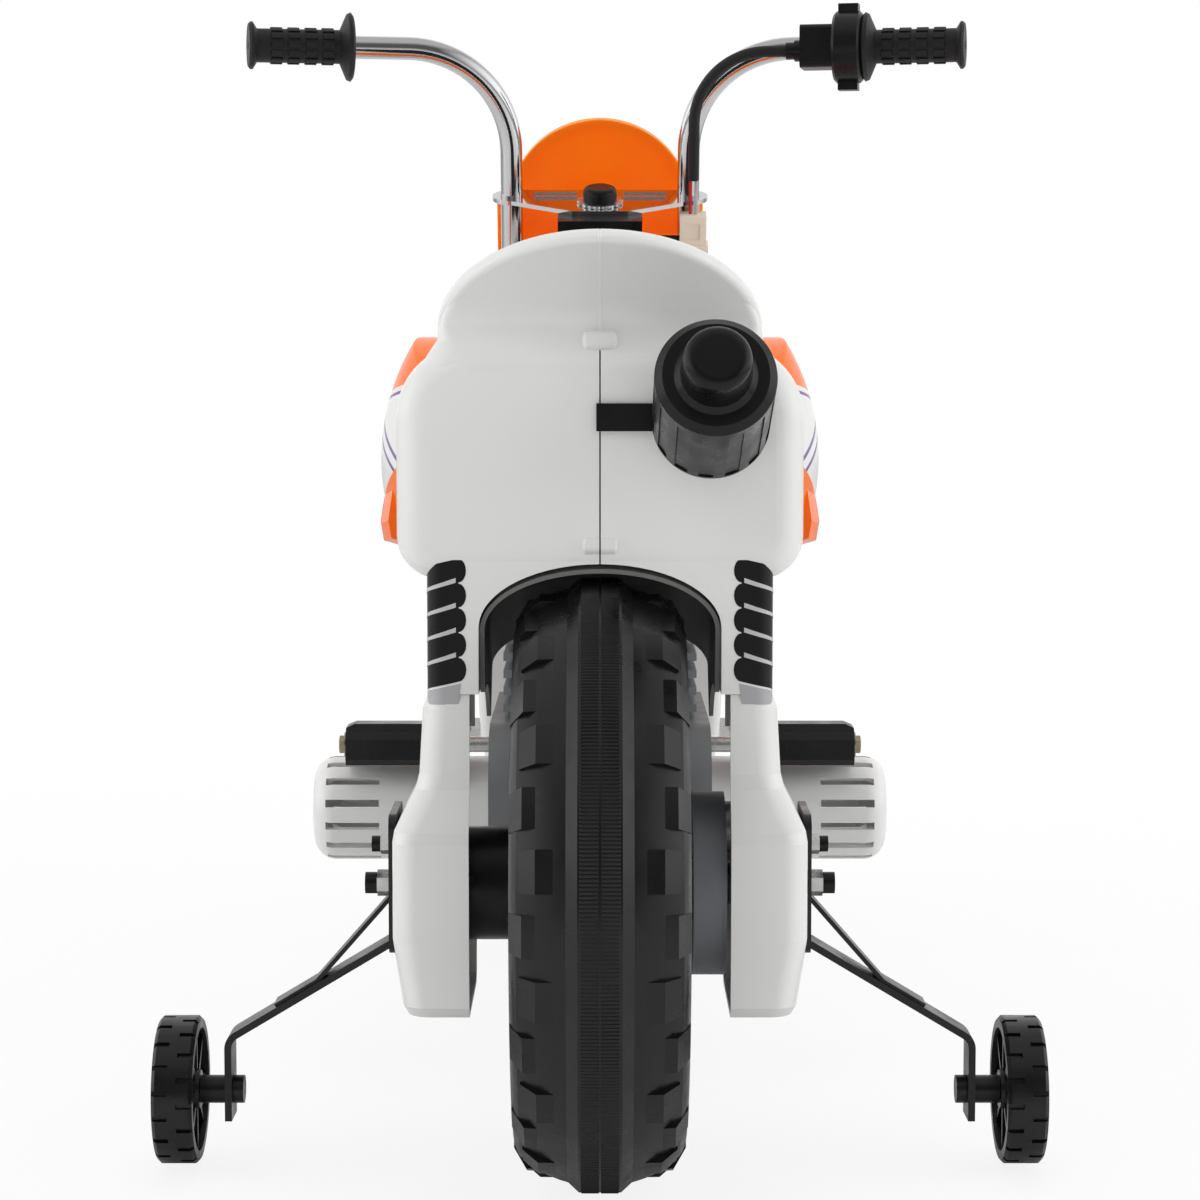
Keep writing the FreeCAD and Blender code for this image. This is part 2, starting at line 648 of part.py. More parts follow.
def stem_knob():
    body = new_body("stem_knob")
    sketch = new_sketch(body, "XZ_Plane", "Dim.stem_back")
    base = "Dim.clamp_high + Dim.clamp_thick + 0.1"
    bore = "Dim.stem_dia / 2 + 0.1"
    outline(sketch, [
        (bore, base), ("Dim.knob_dia / 2 + 3", base), ("Dim.knob_dia / 2 + 3", base + " + 1.6"),
        ("Dim.knob_dia / 2", base + " + 1.6"), ("Dim.knob_dia / 2", base + " + Dim.knob_high - 4", "4"),
        ("Dim.knob_dia / 2 - 4", base + " + Dim.knob_high"), ("0", base + " + Dim.knob_high"),
        ("0", base + " + 6"), (bore, base + " + 6"),
    ])
    revolve(body, sketch, "V_Axis")
    return on_fork(body)


stem_knob()

DASH_BACK = "-Dim.stem_back - 34"
BUTTON_X = "-14"
SWITCH_X = "13"
DASH_MID = "Dim.clamp_high - 14"


def dash_panel():
    body = new_body("dash_panel")
    sketch = new_sketch(body, "XZ_Plane", "Dim.stem_back + 9")
    low = "Dim.clamp_high - 27"
    high = "Dim.clamp_high - 0.1"
    outline(sketch, [
        ("-24", low), ("24", low, "6"), ("30", low + " + 6"), ("30", high),
        ("-30", high), ("-30", low + " + 6", "6"),
    ])
    pad(body, sketch, "25")
    sketch = new_sketch(body, "XZ_Plane", "Dim.stem_back + 34")
    circle(sketch, BUTTON_X, DASH_MID, "Dim.button_dia / 2 + 0.1")
    pocket(body, sketch, "12")
    sketch = new_sketch(body, "XZ_Plane", "Dim.stem_back + 34")
    rectangle(sketch, SWITCH_X + " - 10.8", SWITCH_X + " + 10.8", DASH_MID + " - 6", DASH_MID + " + 6")
    pocket(body, sketch, "12")
    return on_fork(body)


def power_button():
    drum = cylinder("button_drum", "Dim.button_dia / 2", "Dim.button_travel + 9",
                    BUTTON_X, DASH_BACK + " - Dim.button_travel - 1", DASH_MID, "y")
    stub = cylinder("button_stem", "Dim.button_dia / 2 - 1.5", "1.2",
                    BUTTON_X, DASH_BACK + " + 7.5", DASH_MID, "y")
    return on_fork(keep(fuse("power_button", [drum, stub]), "power_button"))


def direction_switch():
    body = new_body("direction_switch")
    sketch = new_sketch(body, "XY_Plane", DASH_MID + " - 5.7")
    outline(sketch, [
        (SWITCH_X + " - 9.6", DASH_BACK + " + 5"), (SWITCH_X + " + 9.6", DASH_BACK + " + 5"),
        (SWITCH_X + " + 9.6", DASH_BACK + " - 2.6"), (SWITCH_X, DASH_BACK + " - 1.2"),
        (SWITCH_X + " - 9.6", DASH_BACK + " - 2.6"),
    ])
    pad(body, sketch, "11.4")
    return on_fork(body)


dash_panel()
power_button()
direction_switch()


def number_plate():
    body = new_body("number_plate")

    def face(sketch, inset):
        half = "(Dim.plate_half - " + inset + ")"
        foot = "Dim.plate_bottom + " + inset
        side = "Dim.plate_bottom + 54"
        brow = "Dim.plate_top - 62"
        neck = "Dim.plate_top - 30 - " + inset
        narrow = "(Dim.plate_half * 0.66 - " + inset + ")"
        dome = "(Dim.plate_half * 0.74 - " + inset + ")"
        outline(sketch, [
            (narrow, foot), (half, side), (half, brow), (dome, neck, "67 - " + inset), ("-" + dome, neck),
            ("-" + half, brow), ("-" + half, side), ("-" + narrow, foot),
        ])

    sketch = new_sketch(body, "XZ_Plane", "-Dim.plate_ahead")
    face(sketch, "0.01")
    pad(body, sketch, "Dim.plate_depth")
    sketch = new_sketch(body, "XZ_Plane", "-Dim.plate_ahead + Dim.plate_depth")
    face(sketch, "Dim.skin")
    pocket(body, sketch, "Dim.plate_depth - Dim.skin")
    sketch = new_sketch(body, "XZ_Plane", "-Dim.plate_ahead + Dim.skin")
    for sign in ("", "-"):
        circle(sketch, sign + "Dim.fork_half", "Dim.clamp_high - 30", "5")
        circle(sketch, sign + "Dim.fork_half", "Dim.clamp_low + 72", "5")
    pad(body, sketch, "Dim.plate_ahead - Dim.skin - Dim.bar_dia / 2 - Dim.seat_gap")
    return on_fork(body)


def front_fender():
    body = new_body("front_fender")
    sketch = new_sketch(body, "XY_Plane")
    sketch.AttachmentOffset = Placement(Vector(), Rotation(X_DIR, 1))
    sketch.setExpression("AttachmentOffset.Rotation.Angle", "Dim.fender_turn")
    half = "Dim.fender_half"
    near = "Dim.fender_radius"
    outline(sketch, [
        (half, near + " - Dim.fender_lip"), (half, near + " - 4", "7"), (half + " - 7", near + " + Dim.skin"),
        ("-" + half + " + 7", near + " + Dim.skin", "7"), ("-" + half, near + " - 4"),
        ("-" + half, near + " - Dim.fender_lip"), ("-" + half + " + Dim.skin", near + " - Dim.fender_lip"),
        ("-" + half + " + Dim.skin", near + " - 4"), ("-" + half + " + 8", near), (half + " - 8", near),
        (half + " - Dim.skin", near + " - 4"), (half + " - Dim.skin", near + " - Dim.fender_lip"),
    ])
    revolve(body, sketch, "H_Axis", "Dim.fender_arc")
    sketch = new_sketch(body, "XY_Plane", "Dim.fender_radius + 1")
    for sign in ("", "-"):
        circle(sketch, sign + "32", "0", "6")
    pad(body, sketch, "Dim.clamp_low - Dim.fender_radius - 1.05")
    return on_fork(body)


number_plate()
front_fender()


def nut(name, across, thick, bore, x, y, z):
    prism = doc.addObject("Part::Prism", name + "_hex")
    prism.Polygon = 6
    prism.Placement = Placement(Vector(), Rotation(Y_DIR, 90))
    prism.setExpression("Circumradius", across + " / 2 / cos(30 deg)")
    prism.setExpression("Height", thick)
    move(prism, x, y, z)
    if bore == "0":
        return prism
    return cut(name, prism, cylinder(name + "_bore", bore, thick + " + 2", x + " - 1", y, z, "x"))


AXLE_NUT = "Dim.axle_dia * 1.5"
AXLE_FIT = "Dim.axle_dia / 2 + 0.05"
BOSS_FACE = "(Dim.fork_outside + Dim.fork_boss)"
axle = cylinder("front_rod", "Dim.axle_dia / 2", BOSS_FACE + " * 2 + 18", "-" + BOSS_FACE + " - 9", axis="x")
front_nuts = [nut("front_nut_left", AXLE_NUT, "7", AXLE_FIT, "-" + BOSS_FACE + " - 7.1", "0", "0"),
              nut("front_nut_right", AXLE_NUT, "7", AXLE_FIT, BOSS_FACE + " + 0.1", "0", "0")]
on_fork(group("front_axle", [axle] + front_nuts))


# Grips, throttle, cable

def bar_frame(side, distance):
    # Placement with +X along the outer end of a handlebar, starting at a distance from the middle plane.
    foot, corner, end, out = bar_points(side, distance, 0)
    base = fork_spot(end.x, end.y, end.z)
    tip = fork_spot(end.x + out.x, end.y + out.y, end.z + out.z)
    level = Vector(side * 1.0, 0, 0)
    turn = Rotation(level, tip - base)
    start = Rotation() if side > 0 else Rotation(Z_DIR, 180)
    return Placement(base, turn.multiply(start))


def grip(label, side, start, length):
    body = new_body(label)
    sketch = new_sketch(body, "XY_Plane")
    bore = "Dim.bar_dia / 2 + 0.1" if label == "left_grip" else "Dim.bar_dia / 2 + Dim.running_gap"
    barrel = "Dim.grip_dia / 2"
    outline(sketch, [
        ("0", bore), (length + " - Dim.grip_cap", bore), (length + " - Dim.grip_cap", "3"), (length, "3"),
        (length, "Dim.grip_end / 2 - 1.5"), (length + " - 1.5", "Dim.grip_end / 2"),
        (length + " - 3", "Dim.grip_end / 2"), (length + " - 6", barrel), ("9", barrel),
        ("4", "Dim.grip_flange / 2 - 1"), ("1.5", "Dim.grip_flange / 2"), ("0", "Dim.grip_flange / 2 - 2"),
    ])
    revolve(body, sketch)
    for row in range(4):
        sketch = new_sketch(body, "XY_Plane")
        low = "%d" % (13 + 12 * row)
        foot = "Dim.grip_dia / 2 - 1"
        crest = "Dim.grip_dia / 2 + 1.1"
        outline(sketch, [(low, foot), (low + " + 9", foot), (low + " + 8.4", crest), (low + " + 0.6", crest)])
        polar(body, revolve(body, sketch, "H_Axis", "20", True), "X_Axis", "12")
    body.Placement = bar_frame(side, dim(start))
    return body


grip("left_grip", -1, "grip_start", "Dim.grip_long")
grip("throttle_grip", 1, "twist_start", "Dim.twist_long")


def throttle_housing():
    long = (dim("twist_start") - dim("housing_start")) / math.cos(math.radians(dim("bar_sweep"))) - 0.4
    drum = dim("drum_dia") / 2
    start = long - dim("drum_long")
    barrel = cylinder_shape(drum, X_DIR * start, X_DIR * long)
    barrel = barrel.makeChamfer(2, barrel.Edges[:1] + barrel.Edges[2:])
    case = block_shape(0, start + 2, -19, 12, -15, 15)
    case = case.makeFillet(4, [edge for edge in case.Edges if abs(edge.tangentAt(0).x) > 0.9])
    bosses = block_shape(start + 3, long - 3, -6, 6, -drum - 5, drum + 5)
    relief = cylinder_shape(7.5, Vector(-4, -12, -3), Vector(1, -12, -3))
    relief = relief.fuse(cylinder_shape(6, Vector(-10, -12, -3), Vector(1, -12, -3)))
    shape = barrel.fuse([case, bosses, relief])
    shape = shape.cut(cylinder_shape(dim("bar_dia") / 2 + 0.1, Vector(-20, 0, 0), Vector(long + 5, 0, 0)))
    shape = shape.cut(cylinder_shape(dim("cable_dia") / 2 + 0.1, Vector(-12, -12, -3), Vector(-2, -12, -3)))
    item = feature("throttle_housing", shape.removeSplitter())
    item.Placement = bar_frame(1, dim("housing_start"))
    return item


throttle_housing()
CONNECTOR_X = dim("fork_half") + 3
CONNECTOR_TOP = dim("clamp_high") - 5
CONNECTOR_BACK = dim("clamp_ring") + 4


def throttle_cable():
    fork = Placement(fork_spot(0, 0, 0), Rotation(X_DIR, dim("rake_deg")))
    entry = bar_frame(1, dim("housing_start"))
    start = fork.inverse().multVec(entry.multVec(Vector(-2.5, -12, -3)))
    ahead = fork.inverse().multVec(entry.multVec(Vector(-60, -12, -3)))
    way = (ahead - start).normalize()
    corner = start + way * ((start.x - CONNECTOR_X) / -way.x)
    end = Vector(CONNECTOR_X, -CONNECTOR_BACK, dim("clamp_high") + 20)
    sleeve = round_bar([start, corner, end], [dim("cable_bend")], dim("cable_dia") / 2)
    pieces = [sleeve]
    for shift in (-2, 2):
        top = end + Vector(shift, 0, 0)
        pieces.append(cylinder_shape(dim("wire_dia") / 2, top, Vector(top.x, top.y, CONNECTOR_TOP)))
    shape = pieces[0].fuse(pieces[1:])
    lead_y = -CONNECTOR_BACK - 1
    lead = [Vector(CONNECTOR_X - 9.7, lead_y, CONNECTOR_TOP - 18), Vector(40, lead_y, CONNECTOR_TOP - 18),
            Vector(40, lead_y - 16, CONNECTOR_TOP - 18), Vector(30.1, lead_y - 16, CONNECTOR_TOP - 18)]
    lead_bar = round_bar(lead, [6, 6], dim("wire_dia"))
    return on_fork(feature("throttle_cable", Part.makeCompound([shape, lead_bar])))


def cable_connector():
    middle = Vector(CONNECTOR_X, -CONNECTOR_BACK, CONNECTOR_TOP)
    upper = block_shape(-9.5, 9.5, -6, 6, -24, -0.05)
    lower = block_shape(-11, 11, -7.5, 5.5, -46, -22)
    shape = upper.fuse(lower)
    shape = shape.cut(block_shape(-5, 5, -8, -5, -18, -6))
    shape.translate(middle)
    return on_fork(feature("cable_connector", shape.removeSplitter()))


throttle_cable()
cable_connector()


# Body: two moulded halves with a seam in the middle plane

def body_stages(inset):
    # Distance from the middle, bottom, top, half width, lower and upper corner radius, moved in by the inset.
    back = -dim("wall_back")
    low = dim("body_bottom") + inset
    top = dim("body_top") - inset
    wide = dim("body_half") - inset
    rise = dim("floor_rise")
    edge = dim("wall_round") - inset
    brow = dim("shoulder_round")
    rear = []
    for share in (0, 0.08, 0.3, 0.6, 1):
        drop = edge - edge * math.sqrt(1 - (1 - share) ** 2)
        y = back + inset + edge * share
        rear.append((y, low + drop, top - drop, wide - drop, 24 - drop, brow - drop))
    ahead = [
        (back + 33, low, top, wide, 24, brow),
        (back + 80, low, top, wide, 22, brow - 4),
        (back + 140, low, top - 6, wide - 3, 22, 30),
        (-dim("socket_back"), low + rise, top - 24, wide - 11, 22, 26),
        (0, low + rise, top - 26, wide - 9, 22, 26),
        (80, low + 10, top + 6, wide - 7, 24, 30),
        (130, low + 50, top + 28, wide - 27, 20, 28),
        (150 - inset, low + 83, top + 33, wide - 49, 16, 22),
    ]
    return [stage[:4] + (stage[4] - inset, stage[5] - inset) for stage in rear + ahead]


def half_section(side, stage, seam):
    y, low, top, wide, lower, upper = stage

    def spot(x, z):
        return Vector(side * x, y, z)

    ease = 1 - math.sqrt(0.5)
    foot = [spot(wide - lower, low), spot(wide - lower * ease, low + lower * ease), spot(wide, low + lower)]
    brow = [spot(wide, top - upper), spot(wide - upper * ease, top - upper * ease), spot(wide - upper, top)]
    edges = [
        Part.LineSegment(spot(seam, low), foot[0]).toShape(),
        Part.Arc(*foot).toShape(),
        Part.LineSegment(foot[2], brow[0]).toShape(),
        Part.Arc(*brow).toShape(),
        Part.LineSegment(brow[2], spot(seam, top)).toShape(),
        Part.LineSegment(spot(seam, top), spot(seam, low)).toShape(),
    ]
    return Part.Wire(edges)


def shell_half(side):
    outer = Part.makeLoft([half_section(side, stage, 0) for stage in body_stages(0)], True, False)
    insides = body_stages(dim("skin"))
    return outer, outer.cut(Part.makeLoft([half_section(side, stage, -2) for stage in insides], True, False))


def tail_half(side):
    slope = math.radians(dim("tail_slope"))
    along = Vector(0, -math.cos(slope), math.sin(slope))
    up = Vector(0, math.sin(slope), math.cos(slope))
    across = X_DIR * side
    crease = Vector(0, -dim("crease_back"), dim("crease_high"))
    tip = crease + along * dim("tail_length")
    corner = crease + across * dim("tail_half")
    root = along * -70
    rim_curve = Part.Ellipse(tip, corner, crease)
    edges = [
        Part.ArcOfEllipse(rim_curve, 0, math.pi / 2).toShape(),
        Part.LineSegment(corner, corner + root).toShape(),
        Part.LineSegment(corner + root, crease + root).toShape(),
        Part.LineSegment(crease + root, tip).toShape(),
    ]
    plate = Part.Face(Part.Wire(edges)).extrude(up * dim("tail_thick"))
    lips = [edge for edge in plate.Edges if "Ellipse" in edge.Curve.TypeId]
    return plate.makeFillet(dim("tail_thick") * 0.38, lips)


def arch_face(inset, y, low):
    half = dim("arch_half") - inset
    rise = dim("arch_top") - dim("arch_spring") - inset
    centre = Vector(0, y, dim("arch_spring"))
    curve = Part.Ellipse(centre + X_DIR * half, centre + Z_DIR * rise, centre)
    feet = [Vector(-half, y, low), Vector(half, y, low)]
    edges = [
        Part.ArcOfEllipse(curve, 0, math.pi).toShape(),
        Part.LineSegment(centre - X_DIR * half, feet[0]).toShape(),
        Part.LineSegment(feet[0], feet[1]).toShape(),
        Part.LineSegment(feet[1], centre + X_DIR * half).toShape(),
    ]
    return Part.Face(Part.Wire(edges))


def arch_tunnel(inset, back, front, low):
    return arch_face(inset, back, low).extrude(Y_DIR * (front - back))


def leg_block(side):
    back = -dim("wall_back") + 1
    front = -dim("leg_front")
    low = dim("leg_joint")
    high = dim("body_bottom") + 14
    outside = dim("leg_half")
    block = block_shape(0, outside, back, front, low, high)
    corners = [edge for edge in block.Edges if abs(edge.tangentAt(0).z) > 0.9 and edge.BoundBox.XMin > 1]
    block = block.makeFillet(9, corners)
    wall = dim("skin")
    inside = dim("arch_half") + wall
    hollow = block_shape(inside, outside - wall, back + wall, front - wall, low - 10, high - 10)
    block = block.cut(hollow)
    if side < 0:
        block = block.mirror(Vector(), X_DIR)
    return block


def body_half(name, side):
    outer, shape = shell_half(side)
    shelf_top = dim("body_bottom") + dim("floor_rise") + dim("skin") + dim("shelf_rise")
    x_range = sorted((side * 18, side * 36))
    shelf_back = -dim("socket_back") - 97
    shelf = block_shape(x_range[0], x_range[1], shelf_back, 0, dim("body_bottom") - 20, shelf_top)
    tunnel = (-dim("wall_back") - 20, -dim("arch_front"), dim("leg_joint") - 20)
    roof = arch_tunnel(-dim("skin"), *tunnel).common(outer)
    shape = shape.fuse([tail_half(side), leg_block(side), shelf.common(outer), roof])
    for back, high in ((dim("crease_back") + 5, dim("crease_high")),
                       (dim("wall_back") - 3, dim("arch_top") + 10)):
        knuckle = cylinder_shape(dim("knuckle_dia") / 2, Vector(0, -back, high),
                                 Vector(side * dim("knuckle_half"), -back, high))
        ends = [edge for edge in knuckle.Edges if abs(edge.CenterOfMass.x) > dim("knuckle_half") * 0.9]
        shape = shape.fuse(knuckle.makeFillet(dim("knuckle_dia") * 0.2, ends))
    shape = shape.cut(arch_tunnel(0, *tunnel))
    if side < 0:
        plug = Vector(-dim("body_half") - 5, -dim("socket_back"), dim("socket_high"))
        shape = shape.cut(cylinder_shape(7.2, plug, plug + X_DIR * 30))
    half_gap = dim("seam_gap") / 2
    shape = shape.cut(block_shape(-half_gap, half_gap, -600, 400, 200, 700))
    feature("body_" + name, shape.removeSplitter())
    return outer.fuse(tail_half(side))


SOLID_HALF = {}
for name, side in SIDES:
    SOLID_HALF[side] = body_half(name, side)
BODY_FORM = SOLID_HALF[-1].fuse(SOLID_HALF[1])


def inner_mudguard():
    # The arch's section, turned about the rear axle so that it follows the tyre forward and down.
    axle_spot = Vector(0, -dim("wheelbase") / 2, dim("wheel_dia") / 2)
    low = dim("leg_joint") + 1
    face = arch_face(dim("seat_gap"), axle_spot.y, low)
    face = face.cut(arch_face(dim("seat_gap") + dim("mudguard_thick"), axle_spot.y, low - 1))
    face.rotate(axle_spot, X_DIR, dim("mudguard_behind"))
    turned = face.revolve(axle_spot, X_DIR, -dim("mudguard_ahead") - dim("mudguard_behind"))
    return feature("inner_mudguard", turned.Solids[0])


inner_mudguard()


def shortened(levels, wall):
    # The same loft levels with the first and the last moved inward by the wall.
    first = (levels[0][0] + wall,) + levels[0][1:]
    last = (levels[-1][0] - wall,) + levels[-1][1:]
    return [first] + levels[1:-1] + [last]


def leg_cover(name, side):
    wall = dim("skin")
    far = dim("cover_out")
    near = dim("cover_in") - 14
    deep = dim("cover_half")
    low = dim("cover_low")
    high = dim("leg_joint") - 0.3
    axle_y = -dim("wheelbase") / 2
    axle_z = dim("wheel_dia") / 2

    def stage(z, reach, half, inset):
        middle = Vector(side * (near + reach) / 2, axle_y - 2, z)
        return rounded_rect(middle, X_DIR, Y_DIR, (reach - near) / 2 - inset, half - inset, 13 - inset)

    # A block round the axle, a sloped ledge and a narrower column up to the joint.
    levels = [(low, far - 8, deep - 8), (low + 6, far - 5.5, deep - 2.5), (low + 43, far, deep),
              (axle_z + 30, far, deep), (axle_z + 36, far - 1, deep - 1), (axle_z + 42, far - 4, deep - 4),
              (axle_z + 58, far - 12, deep - 14), (axle_z + 66, far - 14, deep - 16),
              (high - 8, far - 16, deep - 17), (high, far - 19, deep - 19)]
    outer = Part.makeLoft([stage(z, reach, half, 0) for z, reach, half in levels], True, True)
    insides = shortened(levels, wall)
    shape = outer.cut(Part.makeLoft([stage(z, reach, half, wall) for z, reach, half in insides], True, True))
    hub = [Vector(side * (dim("stay_in") + dim("stay_thick") + 0.2), axle_y, axle_z),
           Vector(side * far, axle_y, axle_z)]
    shape = shape.fuse(cylinder_shape(dim("axle_dia") / 2 + 6, hub[0], hub[1]))
    for edges in ((0, side * dim("cover_in")), (side * far, side * (far + 40))):
        x_low, x_high = sorted(edges)
        shape = shape.cut(block_shape(x_low, x_high, axle_y - 200, axle_y + 200, 0, 400))
    reach = Vector(side * 200, axle_y, axle_z)
    shape = shape.cut(cylinder_shape(dim("thread_dia") / 2 + 0.1, Vector(0, axle_y, axle_z), reach))
    rise = Z_DIR * dim("bolt_rise")
    shape = shape.cut(cylinder_shape(3.2, hub[1] + X_DIR * side * -12 + rise, reach + rise))
    gap = sorted((side * dim("cover_in"), side * (dim("stay_in") + dim("stay_thick") + 4)))
    shape = shape.cut(block_shape(gap[0], gap[1], axle_y + 30, axle_y + 70, axle_z + 10, axle_z + 84))
    return feature("leg_cover_" + name, shape.removeSplitter())


def seat():
    def stage(y, low, top, half, inset):
        middle = Vector(0, y, (low + top) / 2)
        return rounded_rect(middle, X_DIR, Z_DIR, half - inset, (top - low) / 2 - inset, 13 - inset)

    top = dim("body_top")
    levels = [(-322, top - 20, top + 22, 62), (-250, top - 30, top + 15, 78), (-120, top - 48, top - 2, 80),
              (0, top - 50, top - 4, 68), (76, top - 30, top + 22, 52)]
    wall = dim("skin")
    outer = Part.makeLoft([stage(*level, 0) for level in levels], True, False)
    insides = shortened(levels, wall)
    shape = outer.cut(Part.makeLoft([stage(*level, wall) for level in insides], True, False))
    shape = shape.cut(BODY_FORM)
    return feature("seat", max(shape.Solids, key=lambda solid: solid.Volume))


def shroud_fin(side):
    # Flared lower edge of a shroud; each section has its top, two outer corners, foot and inner corner.
    wide = dim("body_half")
    low = dim("body_bottom")

    def section(y, shift, lift):
        spots = [(22, 66), (30, 12), (28, 0), (14, -4), (2, 14)]
        corners = [Vector(side * (wide + shift + x), y, low + lift + z) for x, z in spots]
        return Part.makePolygon(corners + corners[:1])

    return Part.makeLoft([section(-4, 0, 0), section(56, 9, -2), section(112, 0, 16)], True, False)


def shroud(name, side):
    wall = dim("skin")
    wide = dim("body_half")

    def stage(y, low, top, base, bulge, inset):
        spots = [(base, low), (bulge - 14, low), (bulge, (low + top) / 2), (bulge - 22, top), (base, top)]
        drops = [inset, inset, 0, -inset, -inset]
        root, foot, belly, brow, crown = [Vector(side * (x - inset), y, z + drop)
                                          for (x, z), drop in zip(spots, drops)]
        lines = [Part.LineSegment(*ends).toShape() for ends in ((brow, crown), (crown, root), (root, foot))]
        return Part.Wire([Part.Arc(foot, belly, brow).toShape()] + lines)

    low = dim("body_bottom")
    levels = [(-74, low + 14, low + 62, wide - 26, wide + 1), (0, low - 4, low + 106, wide - 16, wide + 29),
              (60, low - 10, low + 131, wide - 20, wide + 38),
              (112, low + 8, low + 132, wide - 36, wide + 26),
              (140, low + 34, low + 124, wide - 56, wide + 6)]
    outer = Part.makeLoft([stage(*level, 0) for level in levels], True, False)
    insides = shortened(levels, wall)
    shape = outer.cut(Part.makeLoft([stage(*level, wall) for level in insides], True, False))
    shape = shape.fuse(shroud_fin(side)).cut(BODY_FORM)
    return feature("shroud_" + name, max(shape.Solids, key=lambda solid: solid.Volume))


seat()
for name, side in SIDES:
    leg_cover(name, side)
    shroud(name, side)


# Steel frame

def stadium(start, end, radius, x_low, x_high):
    run = end - start
    left = Vector(0, -run.z, run.y).normalize() * radius
    corners = [start + left, end + left, end - left, start - left]
    plate = Part.Face(Part.makePolygon(corners + corners[:1])).extrude(X_DIR * (x_high - x_low))
    discs = [Part.makeCylinder(radius, x_high - x_low, spot, X_DIR) for spot in (start, end)]
    shape = plate.fuse(discs)
    shape.translate(X_DIR * x_low)
    return shape


def down_tube():
    # Tube from the backbone to a plate on the front of the engine block.
    face = dim("engine_front") + 0.1
    low = dim("engine_low")
    start = Vector(0, dim("frame_bend") + 42, dim("frame_high") + 84)
    run = [start, Vector(0, face + 14, low + 150), Vector(0, face + 11, low + 50)]
    tube = round_bar(run, [60], dim("down_dia") / 2)
    plate = block_shape(-22, 22, face, face + 4, low + 44, low + 86)
    return tube.fuse(plate)


def main_frame():
    high = dim("frame_high")
    tall = dim("frame_tall")
    neck = fork_spot(0, -dim("stem_back"), dim("head_low") + 40)
    run = [neck, Vector(0, dim("frame_bend"), high), Vector(0, -dim("cross_back"), high)]
    outer = flat_bar(run, [40], tall, dim("frame_wide"), X_DIR)
    inner = flat_bar(run, [40], tall - 4, dim("frame_wide") - 4, X_DIR)
    shape = outer.cut(inner)
    bottom = fork_spot(0, -dim("stem_back"), dim("head_low"))
    top = fork_spot(0, -dim("stem_back"), dim("head_high"))
    shape = shape.fuse(cylinder_shape(dim("head_dia") / 2, bottom, top))
    cross = [Vector(side * (dim("stay_in") + 1), -dim("cross_back"), high) for side in (-1, 1)]
    shape = shape.fuse(cylinder_shape(dim("cross_dia") / 2, cross[0], cross[1]))
    axle_spot = Vector(0, -dim("wheelbase") / 2, dim("wheel_dia") / 2)
    for side in (-1, 1):
        x_range = sorted((side * dim("stay_in"), side * (dim("stay_in") + dim("stay_thick"))))
        front = Vector(0, -dim("cross_back"), high)
        stay = stadium(axle_spot, front, dim("stay_wide") / 2, x_range[0], x_range[1])
        shape = shape.fuse(stay)
    underside = BODY_FORM.translated(Z_DIR * -0.1)
    for y in (0, -dim("socket_back")):
        post = block_shape(-15, 15, y - 8, y + 8, high + tall / 2 - 1, dim("body_bottom") + 10)
        shape = shape.fuse(post.cut(underside))
    shape = shape.fuse(down_tube())
    bore = dim("stem_dia") / 2 + dim("running_gap")
    shape = shape.cut(cylinder_shape(bore, bottom + (bottom - top) * 0.2, top + (top - bottom) * 0.2))
    ends = [axle_spot + X_DIR * side * 200 for side in (-1, 1)]
    shape = shape.cut(cylinder_shape(dim("axle_dia") / 2 + 0.1, ends[0], ends[1]))
    return feature("main_frame", shape.removeSplitter())


main_frame()


# Rear axle, gearbox, motor

def x_start(sign, near, far):
    return "-(" + far + ")" if sign else near


def x_rod(name, radius, sign, near, far, y=REAR_Y, z=AXLE_Z):
    return cylinder(name, radius, "(" + far + ") - (" + near + ")", x_start(sign, near, far), y, z, "x")


AXLE_END = "Dim.cover_out + 15"
THREAD_FIT = "Dim.thread_dia / 2 + 0.05"
SHANK_END = "Dim.stay_in + Dim.stay_thick + 0.1"
shank = cylinder("axle_shank", "Dim.axle_dia / 2", "(" + SHANK_END + ") * 2",
                 "-(" + SHANK_END + ")", REAR_Y, AXLE_Z, "x")
thread = cylinder("axle_thread", "Dim.thread_dia / 2", "(" + AXLE_END + ") * 2",
                  "-(" + AXLE_END + ")", REAR_Y, AXLE_Z, "x")
keep(fuse("rear_axle", [shank, thread]), "rear_axle")
drum = x_rod("spacer_drum", "Dim.spacer_dia / 2", "-", "Dim.hub_width / 2 + 0.3", "Dim.stay_in - 0.2")
keep(cut("axle_spacer", drum, x_rod("spacer_bore", AXLE_FIT, "-", "0", "Dim.stay_in")), "axle_spacer")

